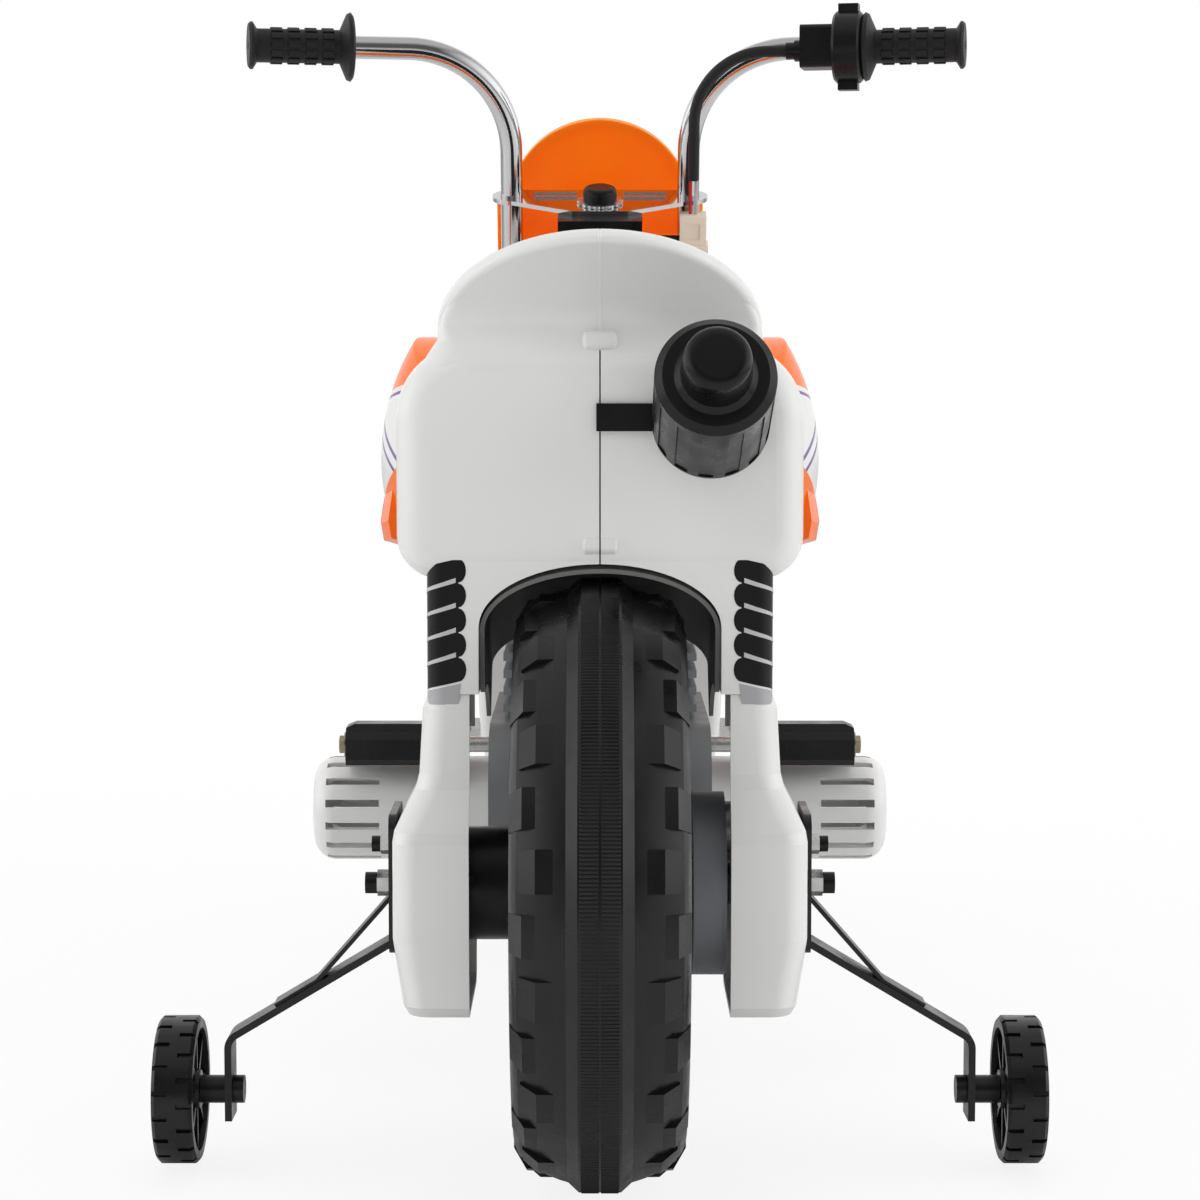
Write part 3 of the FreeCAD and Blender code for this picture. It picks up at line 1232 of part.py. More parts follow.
PLATE_OUT = "Dim.cover_out + 0.2 + Dim.bracket_thick"
BOLT_Z = AXLE_Z + " + Dim.bolt_rise"
THREAD_NUT = "Dim.thread_dia * 1.625"
nuts = []
caps = []
for name, sign in (("left", "-"), ("right", "")):
    near = PLATE_OUT + " + 0.1"
    far = PLATE_OUT + " + 7.1"
    nuts.append(nut("axle_nut_" + name, THREAD_NUT, "7", THREAD_FIT, x_start(sign, near, far),
                    REAR_Y, AXLE_Z))
    shank = x_rod("bolt_shank_" + name, "3", sign, "Dim.cover_out - 8", PLATE_OUT + " + 2", REAR_Y, BOLT_Z)
    head = nut("bolt_head_" + name, "10", "5", "0", x_start(sign, near, PLATE_OUT + " + 5.1"), REAR_Y, BOLT_Z)
    nuts.append(fuse("bracket_bolt_" + name, [shank, head]))
    cap = x_rod("cap_drum_" + name, "Dim.thread_dia / 2 + 2", sign, far + " + 0.1", AXLE_END + " + 3")
    bore = x_rod("cap_bore_" + name, THREAD_FIT, sign, PLATE_OUT, AXLE_END + " + 0.3")
    caps.append(cut("axle_cap_" + name, cap, bore))
    caps.append(x_rod("bolt_cap_" + name, "4.5", sign, PLATE_OUT + " + 5.2", PLATE_OUT + " + 10",
                      REAR_Y, BOLT_Z))
group("fixing_nuts", nuts)
group("nut_caps", caps)


def gear_face(teeth, turn, centre):
    module = dim("tooth_module")
    pitch = teeth * module / 2
    step = 2 * math.pi / teeth
    slope = math.tan(math.radians(20))
    root = pitch - 1.2 * module
    tip = pitch + 0.9 * module
    corners = []
    for tooth in range(teeth):
        for radius, side in ((root, -1), (tip, -1), (tip, 1), (root, 1)):
            half = step * 0.18 + (pitch - radius) * slope / pitch
            angle = math.radians(turn) + tooth * step + side * half
            corners.append(centre + Vector(0, math.cos(angle), math.sin(angle)) * radius)
    return Part.Face(Part.makePolygon(corners + corners[:1]))


def wheel_of_teeth(teeth, turn, centre, x_low, x_high):
    shape = gear_face(int(teeth), turn, centre).extrude(X_DIR * (x_high - x_low))
    shape.translate(X_DIR * x_low)
    return shape


def gear_train():
    axle_spot = Vector(0, -dim("wheelbase") / 2, dim("wheel_dia") / 2)
    heading = math.radians(dim("motor_turn"))
    motor_spot = axle_spot + Vector(0, math.cos(heading), math.sin(heading)) * dim("motor_away")
    module = dim("tooth_module")
    first = (dim("output_teeth") + dim("small_teeth")) * module / 2 + dim("gear_play")
    second = (dim("large_teeth") + dim("pinion_teeth")) * module / 2 + dim("gear_play")
    away = dim("motor_away")
    swing = math.acos((first ** 2 + away ** 2 - second ** 2) / (2 * first * away))
    ahead = heading - swing
    idler_spot = axle_spot + Vector(0, math.cos(ahead), math.sin(ahead)) * first
    reach = motor_spot - idler_spot
    to_idler = math.degrees(ahead)
    to_motor = math.degrees(math.atan2(reach.z, reach.y))
    wall = dim("gearbox_wall")
    near = dim("gearbox_in")
    far = dim("gearbox_out")
    middle = (near + far) / 2
    bore = dim("axle_dia") / 2 + dim("running_gap")
    pin = 3

    def rod(radius, spot, x_low, x_high):
        return Part.makeCylinder(radius, x_high - x_low, spot + X_DIR * x_low, X_DIR)

    boss = rod(13, axle_spot, dim("hub_width") / 2 + 0.1, near + wall + 1)
    output = wheel_of_teeth(dim("output_teeth"), to_idler, axle_spot, near + wall + 0.5, middle - 0.4)
    feature("output_gear", output.fuse(boss).cut(rod(bore, axle_spot, 0, far)))
    small_turn = to_idler + 180 + 180 / dim("small_teeth")
    small = wheel_of_teeth(dim("small_teeth"), small_turn, idler_spot, near + wall + 0.5, middle + 0.2)
    large = wheel_of_teeth(dim("large_teeth"), to_motor, idler_spot, middle + 0.1, far - wall - 1.2)
    feature("idler_gear", small.fuse(large).cut(rod(pin + dim("running_gap"), idler_spot, 0, far)))
    pinion_turn = to_motor + 180 + 180 / dim("pinion_teeth")
    pinion = wheel_of_teeth(dim("pinion_teeth"), pinion_turn, motor_spot, middle + 0.1, far - wall - 1.2)
    feature("motor_pinion", pinion.fuse(rod(1.6, motor_spot, middle + 0.1, far + 7)))
    outside = dim("gearbox_dia") / 2
    case = rod(outside, axle_spot, near, far - wall - 0.05)
    case = case.cut(rod(outside - wall, axle_spot, near + wall, far))
    case = case.fuse(rod(pin, idler_spot, near + wall - 0.5, far - wall - 0.5))
    feature("gearbox_case", case.cut(rod(14, axle_spot, 0, near + wall)))
    cover = rod(outside, axle_spot, far - wall, far)
    cover = cover.fuse(rod(12, axle_spot, far - 0.5, dim("stay_in") - 0.2))
    cover = cover.cut(rod(dim("axle_dia") / 2 + 0.1, axle_spot, 0, 200))
    feature("gearbox_cover", cover.cut(rod(3, motor_spot, 0, far + 1)))
    motor = rod(dim("motor_dia") / 2, motor_spot, far + 0.05, far + dim("motor_long"))
    motor = motor.fuse(rod(5, motor_spot, far + dim("motor_long") - 1, far + dim("motor_long") + 3))
    feature("drive_motor", motor.cut(rod(1.6 + dim("running_gap"), motor_spot, far, far + 8)))


gear_train()


# Engine block, covers, foot pegs

def engine_block():
    body = new_body("engine_block")
    sketch = new_sketch(body, "YZ_Plane")
    front = "Dim.engine_front"
    back = "-Dim.engine_back"
    low = "Dim.engine_low"
    high = "Dim.engine_high"
    outline(sketch, [
        (back + " + 30", low), (front + " - 30", low, "30"),
        (front, low + " + 30"), (front, high + " - 36", "36"),
        (front + " - 36", high), (back + " + 40", high, "40"),
        (back, high + " - 40"), (back, low + " + 30", "30"),
    ])
    pad(body, sketch, "Dim.engine_half * 2", "Symmetric")
    wide = "Dim.engine_half - Dim.skin"
    sketch = new_sketch(body, "YZ_Plane")
    wall = "Dim.skin"
    outline(sketch, [
        (back + " + 30", low + " + " + wall), (front + " - 30", low + " + " + wall, "30 - " + wall),
        (front + " - " + wall, low + " + 30"), (front + " - " + wall, high + " - 36", "36 - " + wall),
        (front + " - 36", high + " - " + wall), (back + " + 40", high + " - " + wall, "40 - " + wall),
        (back + " + " + wall, high + " - 40"), (back + " + " + wall, low + " + 30", "30 - " + wall),
    ])
    pocket(body, sketch, "(" + wide + ") * 2", "Symmetric")
    sketch = new_sketch(body, "XY_Plane", low)
    rectangle(sketch, "-(" + wide + ") + 6", wide + " - 6", back + " + 36", front + " - 36")
    pocket(body, sketch, wall + " * 2", "One side", True)
    sketch = new_sketch(body, "XY_Plane", high + " - 1")
    rectangle(sketch, "-42", "42", "-66", "46")
    pad(body, sketch, "Dim.frame_high - Dim.frame_tall / 2 - 0.05 - " + high + " + 1")
    sketch = new_sketch(body, "XY_Plane", high + " + 5")
    rectangle(sketch, "-Dim.engine_half + 8", "Dim.engine_half - 8", "-84", "64")
    fin = pad(body, sketch, "Dim.fin_thick")
    pattern = body.newObject("PartDesign::LinearPattern", "engine_fins")
    pattern.Originals = [fin]
    pattern.Direction = (origin_item(body, "Z_Axis"), [""])
    pattern.setExpression("Length", "Dim.fin_pitch * (Dim.fin_count - 1)")
    pattern.setExpression("Occurrences", "Dim.fin_count")
    body.Tip = pattern
    sketch = new_sketch(body, "XY_Plane", high + " - 5")
    rectangle(sketch, "-42 + " + wall, "42 - " + wall, "-66 + " + wall, "46 - " + wall)
    pocket(body, sketch, "Dim.frame_high - Dim.frame_tall / 2 - " + high + " + 5 - " + wall, "One side", True)
    sketch = new_sketch(body, "YZ_Plane")
    circle(sketch, "-Dim.peg_back", "Dim.peg_high", "Dim.peg_bar_dia / 2 + 0.2")
    pocket(body, sketch, "Dim.engine_half * 2 + 10", "Symmetric")


def engine_cover(name, sign):
    body = new_body("engine_cover_" + name)
    sketch = new_sketch(body, "XY_Plane")
    wide = "Dim.cup_dia / 2"
    end = "Dim.cup_reach"
    curve = "-Dim.cup_round" if sign == "" else "Dim.cup_round"

    def at(x, y, *arc):
        return (sign + "(" + x + ")", y) + arc

    corners = [
        at("Dim.engine_half + 0.1", wide + " - Dim.skin"), at("Dim.engine_half + 0.1", wide),
        at(end + " - Dim.cup_round", wide, curve),
        at(end, wide + " - Dim.cup_round"), at(end, "0"), at(end + " - Dim.skin", "0"),
        at(end + " - Dim.skin", wide + " - Dim.cup_round"),
        at(end + " - Dim.cup_round", wide + " - Dim.skin"),
    ]
    outline(sketch, corners)
    revolve(body, sketch)
    sketch = new_sketch(body, "XY_Plane")
    near = sign + "(Dim.cup_reach - 44)"
    far = sign + "(Dim.cup_reach - 9)"
    ends = (near, far) if sign == "" else (far, near)
    rectangle(sketch, ends[0], ends[1], "-Dim.slot_wide / 2", "Dim.slot_wide / 2")
    slot = pocket(body, sketch, "Dim.cup_dia")
    polar(body, slot, "X_Axis", "Dim.slot_count")
    move(body, "0", "-Dim.cup_back", "Dim.cup_high")


def foot_peg(name, sign):
    body = new_body("foot_peg_" + name)
    sketch = new_sketch(body, "YZ_Plane", "Dim.peg_start" if sign == "" else "-Dim.peg_reach")
    wide = "Dim.peg_wide / 2"
    tall = "Dim.peg_tall / 2"
    outline(sketch, [
        ("-" + wide + " + 4", "-" + tall), (wide + " - 4", "-" + tall),
        (wide, "-" + tall + " + 4"), (wide, tall + " - 7"),
        (wide + " - 7", tall), ("-" + wide + " + 7", tall),
        ("-" + wide, tall + " - 7"), ("-" + wide, "-" + tall + " + 4"),
    ])
    circle(sketch, "0", "0", "Dim.peg_bar_dia / 2 + 0.1")
    pad(body, sketch, "Dim.peg_reach - Dim.peg_start")
    sketch = new_sketch(body, "XY_Plane", tall)
    start = "Dim.peg_start + 8" if sign == "" else "-Dim.peg_reach + 8"
    rectangle(sketch, start, start + " + 3", "-" + wide, wide)
    groove = pocket(body, sketch, "1.6")
    pattern = body.newObject("PartDesign::LinearPattern", "peg_grooves_" + name)
    pattern.Originals = [groove]
    pattern.Direction = (origin_item(body, "X_Axis"), [""])
    pattern.setExpression("Length", "Dim.peg_reach - Dim.peg_start - 19")
    pattern.Occurrences = 6
    body.Tip = pattern
    move(body, "0", "-Dim.peg_back", "Dim.peg_high")


engine_block()
PEG_Y = "-Dim.peg_back"
PEG_Z = "Dim.peg_high"
bar_end = "Dim.peg_reach - 0.2"
peg_bar = cylinder("foot_peg_bar", "Dim.peg_bar_dia / 2", "(" + bar_end + ") * 2",
                   "-(" + bar_end + ")", PEG_Y, PEG_Z, "x")
keep(peg_bar, "foot_peg_bar")
bolts = []
for name, sign in (("left", "-"), ("right", "")):
    engine_cover(name, sign)
    foot_peg(name, sign)
    washer = x_rod("peg_washer_" + name, "8", sign, "Dim.peg_reach + 0.05", "Dim.peg_reach + 1.6",
                   PEG_Y, PEG_Z)
    head = nut("peg_head_" + name, "10", "4", "0",
               x_start(sign, "Dim.peg_reach + 1", "Dim.peg_reach + 5"), PEG_Y, PEG_Z)
    bolts.append(fuse("peg_bolt_" + name, [washer, head]))
group("peg_bolts", bolts)


# Muffler

def muffler():
    body = new_body("muffler")
    sketch = new_sketch(body, "XY_Plane")
    front = "-Dim.can_long"
    wide = "Dim.can_dia / 2"
    knob = "Dim.can_knob_dia / 2"
    tip = "Dim.can_knob_long"
    outline(sketch, [
        (front, "10.2"), (front, "16"), (front + " + 13", wide), ("-4", wide), ("0", wide + " - 4"),
        ("0", knob + " + 3"), ("3", knob), (tip + " - 6", knob + " - 1", "-6"), (tip, knob + " - 7"),
        (tip, "0"), (tip + " - 3", "0"), (tip + " - 3", knob + " - 8"), (tip + " - 6", knob + " - 4"),
        ("-3", knob + " - 3"), ("-3", wide + " - 5"), ("-6", wide + " - 3"),
        (front + " + 14", wide + " - 3"), (front + " + 3", "15"), (front + " + 3", "10.2"),
    ])
    revolve(body, sketch)
    sketch = new_sketch(body, "XY_Plane", wide + " - 0.9")
    rectangle(sketch, front + " + 15", "-9", "-Dim.flute_wide / 2", "Dim.flute_wide / 2")
    flute = pocket(body, sketch, "6", "One side", True)
    polar(body, flute, "X_Axis", "Dim.flute_count")
    tilt = math.radians(dim("can_tilt"))
    cap = Vector(dim("can_side"), -dim("can_back"), dim("can_high"))
    body.Placement = Placement(cap, Rotation(X_DIR, Vector(0, -math.cos(tilt), math.sin(tilt))))


def muffler_bar():
    back = -dim("wall_back") - 0.1
    low = dim("strap_low")
    tilt = math.radians(dim("can_tilt"))
    high = dim("can_high") - dim("can_long") * math.sin(tilt)
    shape = block_shape(-2, dim("strap_long") - 2, back - 2.6, back, low, low + dim("strap_tall"))
    peg = Vector(dim("can_side"), back - 1, high)
    shape = shape.fuse(cylinder_shape(8.1, peg, peg - Y_DIR * 16))
    feature("muffler_bar", shape.removeSplitter())


muffler()
muffler_bar()


# Training wheels and brackets

SMALL_Y = "-Dim.small_wheel_back"
SMALL_Z = "Dim.small_wheel_dia / 2 + Dim.small_wheel_lift"


def training_wheel(name, side):
    body = new_body("training_wheel_" + name)
    sketch = new_sketch(body, "XY_Plane")
    wide = "Dim.small_wheel_wide"
    edge = "Dim.small_wheel_dia / 2"
    bore = "Dim.small_axle_dia / 2 + Dim.running_gap"
    outline(sketch, [
        ("0", bore), (wide + " - 5", bore), (wide + " - 5", "11"), (wide + " - 9", "13"),
        (wide + " - 9", edge + " - 8"), (wide, edge + " - 7"), (wide, edge + " - 2"), (wide + " - 2", edge),
        ("2", edge), ("0", edge + " - 2"), ("0", edge + " - 7"), ("10", edge + " - 8"), ("10", "13"),
        ("0", "11"),
    ])
    revolve(body, sketch)
    sketch = new_sketch(body, "XY_Plane", "12")
    rectangle(sketch, "2", "11", "-1.5", "1.5")
    rib = pad(body, sketch, edge + " - 12 - 6")
    polar(body, rib, "X_Axis", "8")
    for low, high, turn in (("-1", "9", "0"), (wide + " - 9", wide + " + 1", "10")):
        sketch = new_sketch(body, "XY_Plane")
        if turn != "0":
            sketch.AttachmentOffset = Placement(Vector(), Rotation(X_DIR, 10))
        rectangle(sketch, low, high, edge + " - 2", edge + " + 1")
        groove = revolve(body, sketch, "H_Axis", "4", True, "PartDesign::Groove")
        polar(body, groove, "X_Axis", "18")
    turn = Rotation() if side > 0 else Rotation(Z_DIR, 180)
    body.Placement = Placement(Vector(), turn)
    start = "Dim.track_half - Dim.small_wheel_wide"
    move(body, start if side > 0 else "-(" + start + ")", SMALL_Y, SMALL_Z)


def training_bracket(name, side):
    thick = dim("bracket_thick")
    wide = dim("bracket_wide")
    axle_y = -dim("wheelbase") / 2
    axle_z = dim("wheel_dia") / 2
    arm_y = -dim("small_wheel_back")
    plate_in = dim("cover_out") + 0.1
    middle = plate_in + thick / 2
    x_range = sorted((side * plate_in, side * (plate_in + thick)))
    shape = block_shape(x_range[0], x_range[1], axle_y - 16, arm_y + wide / 2, axle_z - 38, axle_z + 40)
    shape = shape.makeFillet(8, [edge for edge in shape.Edges if abs(edge.tangentAt(0).x) > 0.9])

    def spot(x, z):
        return Vector(side * x, arm_y, z)

    end = dim("bracket_end")
    run = [spot(middle, axle_z - 5), spot(middle, axle_z - 37),
           spot(end, axle_z - 95), spot(end, axle_z - 142)]
    shape = shape.fuse(flat_bar(run, [9, 9], thick, wide, Y_DIR))
    slope = 58 / (end - middle)
    lean = thick * 0.55 / math.cos(math.atan(slope))
    foot = axle_z - 37 + lean - slope * 46
    brace = [spot(middle + 1, axle_z + 6), spot(middle + 1, axle_z - 10), spot(middle + 46, foot + 0.6),
             spot(middle + 70, foot + 0.6 - slope * 24)]
    shape = shape.fuse(flat_bar(brace, [6, 6], 2.5, wide - 5, Y_DIR))
    reach = Vector(side * 300, axle_y, axle_z)
    shape = shape.cut(cylinder_shape(dim("thread_dia") / 2 + 0.1, Vector(0, axle_y, axle_z), reach))
    rise = Z_DIR * dim("bolt_rise")
    shape = shape.cut(cylinder_shape(3.2, Vector(0, axle_y, axle_z) + rise, reach + rise))
    hub = Vector(0, arm_y, dim("small_wheel_dia") / 2 + dim("small_wheel_lift"))
    shape = shape.cut(cylinder_shape(dim("small_axle_dia") / 2 + 0.1, hub, hub + X_DIR * side * 300))
    feature("training_bracket_" + name, shape.removeSplitter())


small_axles = []
for name, side in SIDES:
    training_wheel(name, side)
    training_bracket(name, side)
    sign = "" if side > 0 else "-"
    rod = x_rod("small_rod_" + name, "Dim.small_axle_dia / 2", sign,
                "Dim.bracket_end - 4", "Dim.track_half - 3", SMALL_Y, SMALL_Z)
    collar = x_rod("small_collar_" + name, "Dim.small_axle_dia / 2 + 3", sign,
                   "Dim.bracket_end + Dim.bracket_thick / 2 + 0.05",
                   "Dim.track_half - Dim.small_wheel_wide - 0.3", SMALL_Y, SMALL_Z)
    head = x_rod("small_head_" + name, "Dim.small_axle_dia / 2 + 3.5", sign,
                 "Dim.track_half - 4.7", "Dim.track_half - 1", SMALL_Y, SMALL_Z)
    nut_in = x_rod("small_nut_" + name, "Dim.small_axle_dia / 2 + 3", sign, "Dim.bracket_end - 8",
                   "Dim.bracket_end - Dim.bracket_thick / 2 - 0.05", SMALL_Y, SMALL_Z)
    small_axles.append(fuse("small_axle_" + name, [rod, collar, head, nut_in]))
group("training_axles", small_axles)


# Battery, control box, charge socket

FLOOR = "Dim.body_bottom + Dim.floor_rise + Dim.skin + Dim.shelf_rise + 0.05"
keep(box("battery", "Dim.battery_wide", "Dim.battery_long", "Dim.battery_tall",
         "-Dim.battery_wide / 2", "-Dim.socket_back - 97", FLOOR), "battery")
keep(box("control_box", "80", "56", "24", "-40", "-56", FLOOR), "control_box")


def charge_socket():
    body = new_body("charge_socket")
    sketch = new_sketch(body, "XY_Plane")
    bore = "Dim.socket_dia / 2"
    outline(sketch, [
        ("-2.1", bore), ("-2.1", "9"), ("-0.1", "9"), ("-0.1", "7"), ("12", "7"), ("12", "0"),
        ("Dim.socket_deep - 2.1", "0"), ("Dim.socket_deep - 2.1", bore),
    ])
    revolve(body, sketch)
    move(body, "-Dim.body_half + 10.5", "-Dim.socket_back", "Dim.socket_high")


charge_socket()


# Finish: recompute, check and write the pieces

doc.recompute()
faults = []
for item in doc.Objects:
    if "Invalid" in item.State or "Error" in item.State:
        faults.append(item.Label)
os.makedirs("parts", exist_ok=True)
for item in PARTS:
    if item.Shape.isNull() or not item.Shape.isValid() or not item.Shape.Solids:
        faults.append(item.Label)
        continue
    item.Shape.exportStep("parts/" + item.Label + ".step")
if faults:
    raise RuntimeError("not built: " + ", ".join(faults))
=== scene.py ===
import bmesh
import bpy
import math
from mathutils import Matrix, Vector


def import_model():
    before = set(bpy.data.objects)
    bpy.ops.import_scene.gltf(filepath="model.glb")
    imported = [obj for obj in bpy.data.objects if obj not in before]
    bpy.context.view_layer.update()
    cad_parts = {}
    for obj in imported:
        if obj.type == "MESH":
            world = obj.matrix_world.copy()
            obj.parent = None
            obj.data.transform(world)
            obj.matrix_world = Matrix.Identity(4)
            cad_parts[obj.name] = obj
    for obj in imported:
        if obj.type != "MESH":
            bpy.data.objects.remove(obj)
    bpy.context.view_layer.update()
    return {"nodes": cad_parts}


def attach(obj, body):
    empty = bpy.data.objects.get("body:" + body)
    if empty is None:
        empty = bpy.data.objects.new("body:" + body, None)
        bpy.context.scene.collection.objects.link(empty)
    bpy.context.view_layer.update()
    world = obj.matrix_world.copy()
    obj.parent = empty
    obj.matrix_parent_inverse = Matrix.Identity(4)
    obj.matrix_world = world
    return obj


# Children's electric motorbike: finishes, small added pieces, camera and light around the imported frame.

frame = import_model()
NODES = frame["nodes"]
MM = 0.001
SIDES = (("left", -1), ("right", 1))


# Materials

NOISE_LOW, NOISE_HIGH = 0.3, 0.7
CLOUD_DETAIL, PATCH_DETAIL, GRAIN_DETAIL = 4.0, 5.0, 2.0
PATCH_FINER = 4
LEAST_ROUGH = 0.02
SCATTER_DEPTH = 0.01
PLATE_SCATTER_DEPTH = 0.04
MIX_FACTOR, MIX_FIRST, MIX_SECOND, MIX_RESULT = 0, 6, 7, 2


def wire(tree, source, target):
    tree.links.new(source, target)


def add(tree, kind, **values):
    node = tree.nodes.new(kind)
    for name, value in values.items():
        setattr(node, name, value)
    return node


def noise(tree, coords, scale, detail):
    node = add(tree, "ShaderNodeTexNoise")
    node.inputs["Scale"].default_value = scale
    node.inputs["Detail"].default_value = detail
    wire(tree, coords, node.inputs["Vector"])
    return node.outputs["Fac"]


def remap(tree, value, low, high, out_low, out_high):
    node = add(tree, "ShaderNodeMapRange")
    wire(tree, value, node.inputs["Value"])
    for name, number in (("From Min", low), ("From Max", high), ("To Min", out_low), ("To Max", out_high)):
        node.inputs[name].default_value = number
    return node.outputs["Result"]


def mix_color(tree, factor, first, second):
    node = add(tree, "ShaderNodeMix", data_type="RGBA")
    wire(tree, factor, node.inputs[MIX_FACTOR])
    for socket, value in ((node.inputs[MIX_FIRST], first), (node.inputs[MIX_SECOND], second)):
        if isinstance(value, tuple):
            socket.default_value = value + (1.0,)
        else:
            wire(tree, value, socket)
    return node.outputs[MIX_RESULT]


def math_node(tree, operation, first, second=None):
    node = add(tree, "ShaderNodeMath", operation=operation)
    for socket, value in zip(node.inputs, (first, second)):
        if value is None:
            continue
        if isinstance(value, (int, float)):
            socket.default_value = value
        else:
            wire(tree, value, socket)
    return node.outputs[0]


def split(tree, coords):
    node = add(tree, "ShaderNodeSeparateXYZ")
    wire(tree, coords, node.inputs["Vector"])
    return node.outputs


def band(tree, value, low, high, soft):
    """1 where the value lies between low and high."""
    rise = remap(tree, value, low - soft, low + soft, 0.0, 1.0)
    fall = remap(tree, value, high - soft, high + soft, 1.0, 0.0)
    return math_node(tree, "MULTIPLY", rise, fall)


def shade(color, factor):
    return tuple(min(1.0, channel * factor) for channel in color)


class Finish:
    """A principled material with cloudy colour, uneven gloss and a fine grain."""

    def __init__(self, name, color, rough, metal=0.0, tone=0.05, tone_scale=14.0, spread=0.08,
                 grain=0.1, grain_scale=700.0, grain_depth=0.05, specular=0.5, subsurface=0.0,
                 scatter=SCATTER_DEPTH):
        self.material = bpy.data.materials.new(name)
        self.material.use_nodes = True
        self.tree = self.material.node_tree
        self.shader = self.tree.nodes["Principled BSDF"]
        self.coords = add(self.tree, "ShaderNodeTexCoord").outputs["Object"]
        self.shader.inputs["Metallic"].default_value = metal
        self.shader.inputs["Specular IOR Level"].default_value = specular
        self.shader.inputs["Subsurface Weight"].default_value = subsurface
        self.shader.inputs["Subsurface Scale"].default_value = scatter
        cloud = noise(self.tree, self.coords, tone_scale, CLOUD_DETAIL)
        cloud = remap(self.tree, cloud, NOISE_LOW, NOISE_HIGH, 0.0, 1.0)
        self.color = mix_color(self.tree, cloud, shade(color, 1 - tone), shade(color, 1 + tone))
        wire(self.tree, self.color, self.shader.inputs["Base Color"])
        patch = noise(self.tree, self.coords, tone_scale * PATCH_FINER, PATCH_DETAIL)
        gloss = remap(self.tree, patch, NOISE_LOW, NOISE_HIGH, max(LEAST_ROUGH, rough - spread), rough + spread)
        wire(self.tree, gloss, self.shader.inputs["Roughness"])
        bump = add(self.tree, "ShaderNodeBump")
        bump.inputs["Strength"].default_value = grain
        bump.inputs["Distance"].default_value = grain_depth * MM
        wire(self.tree, noise(self.tree, self.coords, grain_scale, GRAIN_DETAIL), bump.inputs["Height"])
        wire(self.tree, bump.outputs["Normal"], self.shader.inputs["Normal"])

    def paint(self, mask, color):
        """Lays another colour over the base where the mask is 1."""
        self.color = mix_color(self.tree, mask, self.color, color)
        wire(self.tree, self.color, self.shader.inputs["Base Color"])


WHITE = (0.80, 0.80, 0.785)
ORANGE = (1.0, 0.168, 0.002)
# Number plate orange: the fender's orange made lighter, as painted light that stands in for the light its shaded rear
# face lacks.
LIT_PLATE_ORANGE = (1.0, 0.22, 0.002)
PURPLE = (0.15, 0.075, 0.28)
BLACK = (0.0062, 0.0062, 0.0070)
TYRE_BLACK = (0.0062, 0.0062, 0.0066)
WHITE_SKIN = dict(tone=0.004, tone_scale=6, spread=0.012, grain=0.05, grain_scale=350, grain_depth=0.03)
ORANGE_SKIN = dict(tone=0.006, tone_scale=6, spread=0.015, grain=0.08, grain_scale=420, grain_depth=0.03)

white = Finish("white_moulded_plastic", WHITE, 0.25, **WHITE_SKIN)
orange = Finish("orange_moulded_plastic", ORANGE, 0.30, **ORANGE_SKIN)
# Number plate finish: its lighter orange is painted light, and subsurface scatter lets lamp light through the thin
# plate.
lit_plate_orange = Finish("orange_plate_painted_light", LIT_PLATE_ORANGE, 0.34, specular=0.35, subsurface=1.0,
                      scatter=PLATE_SCATTER_DEPTH, **ORANGE_SKIN)
black = Finish("black_plastic", BLACK, 0.31, tone=0.16, grain=0.2, grain_scale=900, grain_depth=0.06,
               specular=0.26)
black_grained = Finish("black_grained_plastic", BLACK, 0.52, tone=0.05, grain=0.6, grain_scale=420,
                       grain_depth=0.12)
tyre = Finish("tyre_plastic", TYRE_BLACK, 0.31, tone=0.18, grain=0.25, grain_scale=800, grain_depth=0.06,
              specular=0.36)
rubber = Finish("grip_rubber", (0.010, 0.010, 0.011), 0.55, tone=0.2, grain=0.35, grain_scale=900,
                grain_depth=0.06, specular=0.34)
dark_grey = Finish("dark_grey_plastic", (0.05, 0.052, 0.055), 0.5, tone=0.1, grain=0.3, grain_scale=600)
guard_grey = Finish("mudguard_grey_plastic", (0.2, 0.21, 0.2), 0.5, tone=0.08, grain=0.3, grain_scale=500)
gear_grey = Finish("gearbox_grey_plastic", (0.16, 0.172, 0.185), 0.42, tone=0.1, grain=0.3, grain_scale=500)
engine_grey = Finish("engine_grey_plastic", (0.19, 0.2, 0.205), 0.45, tone=0.06, grain=0.4, grain_scale=380,
                     grain_depth=0.08)
chrome = Finish("chrome_plate", (0.56, 0.56, 0.57), 0.08, metal=1.0, tone=0.03, spread=0.03, grain=0.02)
black_steel = Finish("black_powder_coat", (0.009, 0.009, 0.010), 0.33, tone=0.15, grain=0.3, grain_scale=1100,
                     specular=0.36)
zinc = Finish("zinc_plate", (0.62, 0.62, 0.6), 0.3, metal=1.0, tone=0.1, tone_scale=60, grain=0.1)
brass = Finish("yellow_zinc_plate", (0.42, 0.36, 0.24), 0.36, metal=1.0, tone=0.12, tone_scale=70, grain=0.1)
ivory = Finish("ivory_nylon", (0.83, 0.74, 0.62), 0.42, tone=0.04, grain=0.15, grain_scale=500, subsurface=0.1)
red = Finish("red_plastic", (0.5, 0.012, 0.008), 0.3, tone=0.06, grain=0.1)
steel = Finish("motor_steel", (0.45, 0.45, 0.46), 0.34, metal=1.0, tone=0.08, tone_scale=40, grain=0.12)
battery_grey = Finish("battery_case", (0.03, 0.03, 0.034), 0.55, tone=0.12, grain=0.4, grain_scale=450)
pale_print = Finish("pale_print", (0.55, 0.55, 0.56), 0.4, tone=0.05, grain=0.05)
silver = Finish("silver_print", (0.42, 0.42, 0.43), 0.4, tone=0.05, grain=0.05)


# Paint of the side shrouds: lines across their side view, as heights at Y = 0 and slopes along Y

